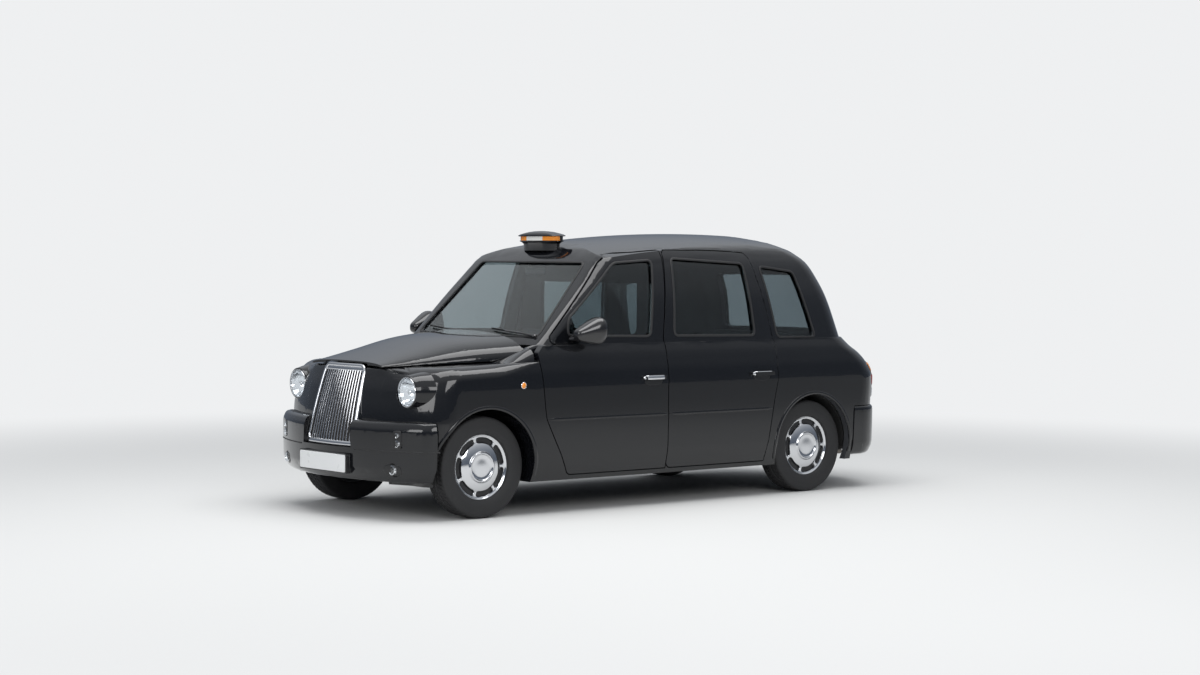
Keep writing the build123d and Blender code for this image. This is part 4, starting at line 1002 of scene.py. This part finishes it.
def patch(form, centre, half, ahead=None, side=1, proud=0.004, power=4.0, rings=8, dish=0.0):
    """A raised patch on a form with a superellipse outline, its face domed or dished, and its edge
    turned down into the form. Its middle is at y and z on an end, or x and z on a side."""
    angle = around(72)
    edge = np.stack([bent(np.cos(angle), power), bent(np.sin(angle), power)], -1)
    share = np.append(np.sin(np.linspace(0, math.pi / 2, rings)), (1.0, 0.97, 0.0))
    level = proud * np.sqrt(np.maximum(1 - (share[:rings] * 0.97) ** 6, 0)) - dish * (1 - share[:rings] ** 4)
    level = np.append(level, (-0.006, -0.010, -0.010))
    flat = np.array(centre) + share[:, None, None] * edge * np.array(half)
    u, v = flat.reshape(-1, 2).T
    points, out = on_end(form, u, v, ahead) if ahead else on_side(form, u, v, 0.0, side)
    return shell((points + out * np.repeat(level, len(angle))[:, None]).reshape(len(share), len(angle), 3))


REPEATER_AT, TAIL_LAMP_Y = (1.337, 0.838), 0.685
# Bumper lenses: y, z and radius. Tail lamp lenses: z, half height and finish.
BUMPER_LENSES = ((0.640, 0.540, 0.016), (0.640, 0.488, 0.022), (0.606, 0.323, 0.030))
TAIL_LENSES = ((0.862, 0.036, 3), (0.772, 0.045, 4), (0.682, 0.036, 5))
# Turned cup and glass: distance out, share of the radius
CUP = np.array([(-20, 0), (-20, 1), (6, 1), (6.5, 0.88), (-4, 0.5), (-6, 0)]) * (MM, 1)
GLASS = np.array([(6.5, 0), (6, 0.5), (4, 0.86), (2, 0.86), (3, 0)]) * (MM, 1)
ring = MM * np.array([(-12, 0), (-12, 21.5), (2, 21.5), (3.5, 19.5), (2, 18), (2, 0)])
dome = MM * np.array([(8, 0), (7.2, 8), (5, 14.5), (1.5, 18.2), (-4, 18.2), (-4, 0)])
lamps = []
for _, sign in SIDES:
    for y, z, half, power in ((0.640, 0.515, (0.034, 0.056), 4.0), (0.606, 0.323, (0.062, 0.036), 2.6)):
        lamps.append((*patch(BUMPER, (sign * y, z), half, 1, proud=0.003, power=power, dish=0.0015), 0))
    for y, z, radius in BUMPER_LENSES:
        seat, _ = on_end(BUMPER, [sign * y], [z], 1)
        for profile, finish in ((CUP, 1), (GLASS, 2)):
            lamps.append((*lathe(profile * (1, radius), seat[0], FORWARD, 40), finish))
    seat, _ = on_side(LOWER, REPEATER_AT[:1], REPEATER_AT[1:], 0.0, sign)
    lamps += [(*lathe(ring, seat[0], (0, sign, 0), 48), 1), (*lathe(dome, seat[0], (0, sign, 0), 48), 3)]
    tail_y = sign * TAIL_LAMP_Y
    lamps.append((*patch(LOWER, (tail_y, 0.7725), (0.080, 0.136), -1, proud=0.007, power=5.0), 0))
    for z, half, colour in TAIL_LENSES:
        lamps.append((*patch(LOWER, (tail_y, z), (0.070, half), -1, proud=0.013, power=5.0), colour))
lamp_finishes = [dark_housing, bowl, clear_lens, amber_lens, red_lens, pale_lens]
assembled("small_lamp_units", lamps, lamp_finishes, "body", "amber_lens", "small_lamps")

# Tyres
# Radial tyres of black rubber: a rounded shoulder, four grooves round the tread with blocks
# cut across it, and a smooth side wall with two low ribs.
TYRE_R, HALF_TRACK = 0.325, 0.720
tyre_rubber = finish_material("tyre_rubber", (0.016, 0.016, 0.017), 0.72, grain=350, bump=0.35, spread=0.08)
TREAD_HALF, SHOULDER, BLOCKS = 0.068, 0.019, 64
GROOVES, GROOVE_HALF, GROOVE_DEPTH = (-0.045, -0.015, 0.015, 0.045), 0.0036, 0.0065


def tyre_profile():
    """Rows of width and radius from one bead to the other: wall, shoulder arc, tread with four
    grooves, shoulder and wall."""
    wall = MM * np.array([(66, 205.5), (78, 214), (86.2, 232), (87.5, 252), (87.2, 272), (86.8, 290)])
    turn = np.linspace(0, math.pi / 2, 7)[1:-1]
    arc = np.stack([TREAD_HALF + SHOULDER * np.cos(turn), TYRE_R - 0.003 - SHOULDER * (1 - np.sin(turn))], -1)
    across = np.linspace(-1, 1, 61) * TREAD_HALF
    groove = sum(np.exp(-(((across - at) / GROOVE_HALF) ** 4)) for at in GROOVES)
    tread = np.stack([across, TYRE_R - 0.003 * (across / TREAD_HALF) ** 2 - GROOVE_DEPTH * groove], -1)
    left = np.concatenate([wall, arc]) * (-1, 1)
    inner = MM * np.array([(55, 204.5), (0, 212), (-55, 204.5)])
    return np.concatenate([left, tread, left[::-1] * (-1, 1), inner])


def turned_rows(centre, width, radius, angle):
    """Points round the axle line through a centre: rows of width along it and radius from it."""
    x, y, z = radius * np.cos(angle), width + 0 * radius * angle, radius * np.sin(angle)
    return np.stack([x, y, z], -1) + np.array(centre)


def tyre(centre):
    """The profile turned round the axle, with blocks cut across the tread: the radius drops where
    the angle, skewed with the width, falls in a narrow gap of each pitch."""
    width, radius = tyre_profile().T[..., None]
    angle = around(480)[None]
    pitch = (angle * BLOCKS / (2 * math.pi) + np.abs(width) * 9) % 1
    gap = np.exp(-(((pitch - 0.5) / 0.11) ** 4)) * step_up(np.abs(width), 0.016, 0.020)
    depth = 0.0055 * gap * (radius > TYRE_R - 0.012) * (1 - step_up(np.abs(width), 0.070, 0.082))
    return shell(turned_rows(centre, width, radius - depth, angle), True, True)


# Wheels
# Pressed steel wheels under bright full covers: an outer ring, seven dark windows, a smooth
# dome and a raised ring round a plain cap.
dark_steel = finish_material("wheel_steel", (0.030, 0.031, 0.033), 0.45, metallic=0.6, grain=300, bump=0.15)
COVER_R, WINDOWS, WINDOW_R, WINDOW_HALF, WINDOW_SHARE = 0.216, 7, 0.171, 0.0185, 0.43


def window_shape(r, angle):
    """Below 1 in a window: a superellipse of the radius and of the share of the windows' pitch."""
    off = (angle * WINDOWS / (2 * math.pi) + 0.5) % 1 - 0.5
    return np.abs((r - WINDOW_R) / WINDOW_HALF) ** 4 + np.abs(off / WINDOW_SHARE) ** 6


def cover(centre, side):
    """A disc in rows of radius: its height follows the dome, the centre ring and the rolled edge,
    and drops in the windows."""
    r = np.concatenate([
        [0.0, 0.015, 0.035, 0.052, 0.064, 0.070], np.linspace(0.073, 0.105, 14), np.linspace(0.110, 0.144, 9),
        np.linspace(0.147, 0.196, 26), np.linspace(0.198, COVER_R, 10),
    ])[:, None]
    angle = around(336)[None]
    dome = 0.028 * np.clip(1 - (r / 0.158) ** 2, 0, 1) ** 0.75
    ring = 0.008 * np.exp(-(((r - 0.090) / 0.008) ** 4)) - 0.008 * np.exp(-((r / 0.077) ** 8))
    edge = 0.008 * np.exp(-(((r - 0.206) / 0.008) ** 2)) - 0.018 * step_up(r, 0.207, COVER_R)
    height = 0.056 + dome + ring + edge - 0.014 * (1 - step_up(window_shape(r, angle), 0.75, 1.25))
    rows = turned_rows(centre, side * height, r, angle)
    back = rows[-1:] - (0, side * 0.004, 0)
    inner = turned_rows(centre, side * (height[::-4].min() - 0.004), r[::-4] * 0.985, angle)
    hub = np.broadcast_to(np.array([centre[0], inner[0, 0, 1], centre[2]]), (1, angle.size, 3))
    points, tris = shell(np.concatenate([rows, back, inner, hub]))
    x, y, z = (points[tris].mean(1) - centre).T
    in_window = (window_shape(np.hypot(x, z), np.arctan2(z, x)) < 1.0) & (side * y > 0.034)
    return points, tris, np.where(in_window, 1, 0)


def steel_wheel(centre, side):
    """The rim barrel with its flanges, the sloped disc inside it and the hub, in one profile."""
    profile = MM * np.array([
        (-70, 196), (-70, 206), (-62, 206), (-58, 190), (-30, 176), (30, 176), (46, 188), (52, 200),
        (46, 196), (34, 170), (34, 80), (46, 60), (46, 0), (-60, 0), (-60, 58), (20, 62), (20, 165),
        (-40, 168),
    ])
    return lathe(np.concatenate([profile, profile[:1]]) * (side, 1), centre, turns=96)


for end, axle_x in (("front", FRONT_AXLE_X), ("rear", REAR_AXLE_X)):
    for name, sign in SIDES:
        centre = np.array([axle_x, sign * HALF_TRACK, AXLE_Z])
        body = f"wheel_{end}_{name}_body"
        assembled(f"tyre_tread_{end}_{name}", [(*tyre(centre), 0)], [tyre_rubber], body, "tyre_rubber",
                  f"tyre_{end}_{name}", sharp=30)
        disc = (*steel_wheel(centre, sign), 2)
        assembled(f"wheel_trim_{end}_{name}", [cover(centre, sign), disc], [chrome, dark_housing, dark_steel],
                  body, "wheel_cover", f"wheel_{end}_{name}", sharp=38)

# Door handles
# A chromed bar on two feet over a dark moulded cup, one on each door.
HANDLE_X, HANDLE_Z = {"door_front": 0.168, "door_rear": -0.833}, 0.858
HANDLE_BAR = oval(0.031, 0.019, 3.0, 16)
for name, sign in SIDES:
    for door, x in HANDLE_X.items():
        path, out = on_side(LOWER, np.linspace(x - 0.003, x + 0.175, 36), np.full(36, HANDLE_Z), 0.0, sign)
        ends = np.minimum(np.arange(36), np.arange(36)[::-1])
        rise = 0.027 - 0.018 * np.clip(1 - ends / 4, 0, 1)
        bar = sweep(path + out * rise[:, None], out, HANDLE_BAR, scale=np.clip(0.5 + ends / 5, 0, 1))
        cup = patch(LOWER, (x + 0.082, 0.842), (0.078, 0.034), None, sign, 0.002, 3.2, dish=0.0015)
        assembled(f"handle_{door}_{name}", [(*bar, 0), (*cup, 1)], [chrome, dark_housing],
                  f"{door}_{name}_body", "chrome_trim")

# Door mirrors
# Moulded black heads on short arms at the front corner of each front door, with a flat
# silvered glass let into the rear face.
black_gloss = finish_material("gloss_moulding", (0.006, 0.006, 0.007), 0.16, grain=700, bump=0.02, coat=0.6)
mirror_glass = finish_material("mirror_glass", (0.72, 0.75, 0.78), 0.03, metallic=1.0, grain=20, bump=0.004,
                               spread=0.02)


def rounded_box(centre, half, powers=(2.8, 2.8), rows=30, cols=56):
    """A closed superellipsoid: powers of the angles' cosines and sines give its squareness."""
    u, v = np.linspace(-math.pi / 2, math.pi / 2, rows)[:, None], around(cols)[None]
    c, s = bent(np.cos(u), powers[0]), bent(np.sin(u), powers[0])
    box = np.stack([s + 0 * v, c * bent(np.cos(v), powers[1]), c * bent(np.sin(v), powers[1])], -1)
    return box * half + np.array(centre)


MIRROR_AT, MIRROR_HALF = np.array((0.838, 0.940, 1.181)), np.array((0.108, 0.077, 0.093))
MIRROR_BACK_X, MIRROR_FRONT_X, MIRROR_ROOT_Y, MIRROR_ARM_Z = 0.752, 0.950, 0.863, 1.128
head = rounded_box(MIRROR_AT, MIRROR_HALF, (3.4, 2.8), 44)
x, y, z = np.maximum(head[..., 0], MIRROR_BACK_X), head[..., 1], head[..., 2]
front = step_up(x, 0.765, MIRROR_FRONT_X)
z = MIRROR_ARM_Z + (z - MIRROR_ARM_Z) * (1 - 0.52 * front)
y = MIRROR_ROOT_Y + (y - MIRROR_ROOT_Y) * (1 - 0.34 * front)
lower = np.clip((1.184 - z) / 0.098, 0, 1)
head = np.stack([x, y - 0.022 * lower**2 * np.clip((y - 0.93) / 0.08, 0, 1), z], -1)
share = np.linspace(0, 1, 14)
arm_path = np.stack([0.878 - 0.012 * share, 0.800 + 0.105 * share, 1.122 + 0.020 * share**2], -1)
for name, sign in SIDES:
    arm = sweep(arm_path * (1, sign, 1), (0, 0, 1), oval(0.060, 0.034, 2.4, 20), scale=1.15 - 0.2 * share)
    glass = rounded_box((MIRROR_BACK_X, sign * 0.938, 1.183), (0.0025, 0.057, 0.069), (6.0, 3.2), 12, 48)
    assembled(f"mirror_unit_{name}", [(*shell(head * (1, sign, 1)), 0), (*arm, 0), (*shell(glass), 1)],
              [black_gloss, mirror_glass], f"door_front_{name}_body", "black_plastic", f"mirror_{name}")

# Wipers
# Black steel arms from the scuttle with rubber blades held flat on the windscreen.
boss = MM * np.array([(-4, 0), (-4, 15), (14, 14), (18, 8), (18, 0)])
WIPER_FOOT_Z, WIPER_RISE = 1.140, 0.036
blades = []
for pivot, tip in ((0.640, 0.180), (0.060, -0.560)):
    y = np.linspace(pivot, tip, 30)
    z = WIPER_FOOT_Z + WIPER_RISE * (y - pivot) / (tip - pivot)
    blades.append((*sweep(*on_end(UPPER, y, z, 1, 0.006), oval(0.009, 0.014, 2.2, 10)), 1))
    path, out = on_end(UPPER, y[:20], z[:20] - 0.004)
    rise = 0.006 + 0.014 * np.sin(np.linspace(0.2, 1.2, 20) * math.pi / 1.4)
    arm = sweep(path + out * rise[:, None], out, oval(0.013, 0.007, 2.6, 10),
                scale=np.linspace(1.25, 0.7, 20))
    blades += [(*arm, 0), (*lathe(boss, path[0], out[0], 24), 0)]
assembled("wiper_arms", blades, [black_gloss, rubber], "body", "black_plastic", "wipers")

# Roof sign
# A lens-shaped moulded pod on the front of the roof: a glossy black cap over a blank lit
# band, white in the middle and amber at both ends.
sign_white = finish_material("sign_acrylic", (0.80, 0.79, 0.75), 0.12, grain=120, bump=0.03, coat=0.5)
SIGN_X, SIGN_HALF_X, SIGN_HALF_Y, SIGN_LIP_Z = 0.505, 0.074, 0.2345, 1.7995
BAND_LOW, BAND_HIGH, WHITE_HALF = 1.7685, 1.7965, 0.088
# Rows: share of the plan, height
sign_rows = np.array([
    (0, 1.700), (0.74, 1.700), (0.76, 1.746), (0.84, 1.757), (0.925, 1.763), (0.935, 1.767), (0.885, 1.769),
    (0.89, 1.796), (0.965, 1.797), (0.995, 1.7995), (0.998, 1.803), (0.975, 1.809), (0.915, 1.8165),
    (0.8, 1.8235), (0.62, 1.8295), (0.42, 1.8325), (0.2, 1.8337), (0, 1.8340),
])
angle = around(144)
edge_x = bent(np.sin(angle), 2 / 0.85) * SIGN_HALF_X
edge_y = bent(np.cos(angle), 2 / 0.72) * SIGN_HALF_Y
share, z = sign_rows[:, :1], sign_rows[:, 1:]
droop = 0.55 * (np.abs(edge_y) / SIGN_HALF_Y) ** 3 * np.minimum(share * 1.2, 1)
pod = np.stack([SIGN_X + share * edge_x, share * edge_y, z - np.maximum(z - SIGN_LIP_Z, 0) * droop], -1)
points, tris = shell(pod)
x, y, z = points[tris].mean(1).T
band = (z > BAND_LOW) & (z < BAND_HIGH) & (x > SIGN_X + 0.006)
colour = np.where(band, np.where(np.abs(y) < WHITE_HALF, 1, 2), 0)
assembled("roof_sign_pod", [(points, tris, colour)], [black_gloss, sign_white, amber_lens], "body",
          "black_plastic", "roof_sign", sharp=28)

# Number plate and plinth
# A blank white acrylic plate on a black moulded plinth in the middle of the front bumper.
plate_white = finish_material("plate_acrylic", (0.74, 0.75, 0.75), 0.28, grain=200, bump=0.04, coat=0.3)


def board(low, high, corner, bulge):
    """A flat closed board facing forward: rounded outline in y and z, its edge eased by a bulge."""
    (x0, y0, z0), (x1, y1, z1) = low, high
    outline = spaced(rounded([(y0, z0), (y0, z1), (y1, z1), (y1, z0)], corner), 0.012, True)
    middle = outline.mean(0)
    rows = []
    for x, inset in ((x0, None), (x0, bulge), (x0 + bulge, 0.0), (x1 - bulge, 0.0), (x1, bulge), (x1, None)):
        share = 0.0 if inset is None else 1 - inset / (z1 - z0) * 2
        flat = middle + (outline - middle) * share
        rows.append(np.concatenate([np.full((len(flat), 1), x), flat], 1))
    return shell(np.array(rows))


plinth = board((2.262, -0.270, 0.281), (2.2838, 0.270, 0.409), 0.012, 0.002)
blank = board((2.2835, -0.260, 0.2895), (2.2895, 0.260, 0.4005), 0.008, 0.0012)
assembled("front_plate", [(*blank, 0), (*plinth, 1)], [plate_white, dark_housing], "body", "plate_white",
          "number_plate")

# Bumper seam
# The join between the painted upper bumper and its lower valance, filled with a rubber bead.
SEAM_Z, SEAM_REACH, PLINTH_SIDE_Y = 0.440, 7.3, 0.283
s = np.linspace(-SEAM_REACH, SEAM_REACH, 120)
seam_z = np.full(120, SEAM_Z)
seam = np.concatenate([BUMPER.smooth(seam_z, s), seam_z[:, None]], 1)
along = unit(BUMPER.smooth(seam_z, s + 0.3) - BUMPER.smooth(seam_z, s - 0.3))
away = np.stack([along[:, 1], -along[:, 0], 0 * s], -1)
runs = [seam[:, 1] > PLINTH_SIDE_Y, seam[:, 1] < -PLINTH_SIDE_Y]
beads = [(*sweep(seam[run], away[run], oval(0.009, 0.005, 2.4, 10)), 0) for run in runs]
assembled("bumper_seam", beads, [rubber], "body", "black_plastic")

# Seats
# Sewn cushions in dark grey cloth on moulded bases: a driver's chair, a rear bench and two
# folding seats on the partition, each cushion crowned and pulled in along its channels.
seat_cloth = finish_material("seat_cloth", (0.050, 0.053, 0.060), 0.85, grain=700, bump=0.4, spread=0.12,
                             Sheen_Weight=0.3, Sheen_Roughness=0.4)


def cushion(centre, half, lean=0.0, channels=3, crown_height=0.018, waist=0.010, grid=40):
    """A closed cushion: a superellipsoid whose top is crowned, whose sides pull in between the
    corners, and whose face dips along sewn channels. It leans back about its lower edge."""
    points = rounded_box((0, 0, 0), half, (3.6, 3.6), grid, 2 * grid)
    x, y, z = (points[..., k] / half[k] for k in range(3))
    face = np.clip(1 - x**2, 0, 1) * np.clip(1 - y**2, 0, 1)
    dips = np.exp(-((((y * channels + 0.5) % 1) - 0.5) / 0.09) ** 2)
    relief = crown_height * face - 0.007 * dips * np.sqrt(face)
    points[..., 2] += np.sign(z) * step_up(np.abs(z), 0.5, 0.95) * relief
    points[..., 0] *= 1 - waist / half[0] * np.clip(1 - y**2, 0, 1)
    points[..., 1] *= 1 - waist / half[1] * np.clip(1 - x**2, 0, 1)
    c, s = math.cos(lean), math.sin(lean)
    return shell(points @ np.array([(c, 0, s), (0, 1, 0), (-s, 0, c)]) + np.array(centre))


def padded_piece(name, form):
    """One cushion as its own soft piece on the body."""
    assembled(name, [(*form, 0)], [seat_cloth], "body", "seat_fabric", sharp=60)


UPRIGHT, DRIVER_Y = math.radians(84), -0.390
padded_piece("driver_cushion", cushion((0.472, DRIVER_Y, 0.590), (0.235, 0.232, 0.048)))
padded_piece("driver_back", cushion((0.262, DRIVER_Y, 0.895), (0.262, 0.228, 0.046), UPRIGHT + 0.22))
padded_piece("bench_cushion", cushion((-1.232, 0.0, 0.640), (0.230, 0.570, 0.048), 0, 6))
padded_piece("bench_back", cushion((-1.440, 0.0, 0.905), (0.226, 0.570, 0.046), UPRIGHT + 0.19, 6))
for name, sign in SIDES:
    folded = cushion((-0.075, sign * 0.400, 0.780), (0.205, 0.200, 0.022), math.pi / 2, 2, 0.008)
    padded_piece(f"tip_cushion_{name}", folded)
base_plastic = finish_material("seat_base", (0.022, 0.023, 0.025), 0.5, grain=350, bump=0.3)
bases = [
    (*shell(rounded_box((0.460, DRIVER_Y, 0.445), (0.215, 0.205, 0.095), (6, 6))), 0),
    (*shell(rounded_box((-1.250, 0.0, 0.530), (0.220, 0.560, 0.062), (6, 6))), 0),
]
assembled("seat_bases", bases, [base_plastic], "body", "seat_fabric", "seats")

# Steering wheel
# A padded black rim on three spokes round a plain boss, tilted on its column.
wheel_finish = finish_material("steering_cover", (0.014, 0.014, 0.015), 0.55, grain=500, bump=0.25)
STEER_CENTRE, RIM_R = np.array([0.800, DRIVER_Y, 0.960]), 0.184
steer_axis = unit(np.array([0.945, DRIVER_Y, 0.890]) - STEER_CENTRE)
steer_side = np.array([0.0, 1.0, 0.0])
steer_up = np.cross(steer_side, steer_axis)


def steer_way(angle):
    """The way out from the middle of the wheel at an angle, in its plane."""
    return np.cos(angle) * steer_side + np.sin(angle) * steer_up


rim_out = steer_way(around(96)[:, None])
steering = [(*sweep(STEER_CENTRE + RIM_R * rim_out, rim_out, oval(0.026, 0.024, 2.2, 14), True), 0)]
for degrees in (-20, 200, 270):
    reach = np.linspace(0.02, 0.178, 12)[:, None]
    spoke = reach * steer_way(math.radians(degrees)) + steer_axis * (0.014 * (1 - reach / 0.18))
    steering.append((*sweep(STEER_CENTRE + spoke, steer_axis, oval(0.034, 0.010, 3.0, 12)), 0))
boss = MM * np.array([(-10, 0), (-8, 40), (0, 56), (18, 56), (24, 30), (24, 0)])
column = MM * np.array([(10, 0), (10, 22), (150, 26), (150, 0)])
for profile, turns in ((boss, 48), (column, 32)):
    steering.append((*lathe(profile, STEER_CENTRE, steer_axis, turns), 0))
assembled("steering_rim", steering, [wheel_finish], "steering_wheel_body", "black_plastic", "steering_wheel")

# Interior mirror
# A slim mirror on a stalk below the windscreen's header.
view_head = rounded_box((0.560, 0.0, 1.560), (0.012, 0.110, 0.030), (3, 4))
stalk = np.stack([np.linspace(0.556, 0.618, 8), np.zeros(8), np.linspace(1.565, 1.612, 8)], -1)
view_mirror = [(*shell(view_head), 0), (*sweep(stalk, (0, 1, 0), oval(0.014, 0.014)), 0),
               (*shell(rounded_box((0.549, 0.0, 1.560), (0.0025, 0.103, 0.024), (6, 4), 10, 40)), 1)]
assembled("view_mirror", view_mirror, [black_gloss, mirror_glass], "body", "black_plastic")

# Partition pane
# Clear polycarbonate bolted over the opening behind the driver.
pane_form = rounded_box((0.075, 0.0, 1.300), (0.003, 0.528, 0.186), (8, 8), 10, 60)
assembled("partition_pane", [(*shell(pane_form), 0)], [screen_glass], "body", "window_glass")

# Carried-over parts
# The dashboard and partition in grained plastic, and what lies below the floor: sealed
# steel, cast iron, moulded tank and the dull steel exhaust.
grained = finish_material("grained_plastic", (0.020, 0.020, 0.022), 0.55, grain=260, bump=0.45, edge=0.004)
sealed_steel = finish_material("underbody_seal", (0.014, 0.014, 0.014), 0.75, grain=120, bump=0.8,
                               spread=0.12)
cast_iron = finish_material("cast_iron", (0.10, 0.10, 0.105), 0.50, metallic=0.8, grain=160, bump=0.7,
                            spread=0.12, patch=6.0, edge=0.004)
tank_plastic = finish_material("tank_plastic", (0.018, 0.018, 0.019), 0.45, grain=220, bump=0.3, edge=0.004)
dull_steel = finish_material("exhaust_steel", (0.21, 0.19, 0.17), 0.42, metallic=0.9, grain=180, bump=0.35,
                             spread=0.14, patch=7.0)
CARRIED = {
    "dashboard": grained, "partition": grained, "underbody": sealed_steel, "front_suspension": sealed_steel,
    "rear_axle": sealed_steel, "knuckle_left": cast_iron, "knuckle_right": cast_iron, "engine": cast_iron,
    "fuel_tank": tank_plastic, "exhaust": dull_steel,
}
for node, finish in CARRIED.items():
    for place in NODES[node].material_slots:
        place.material = finish
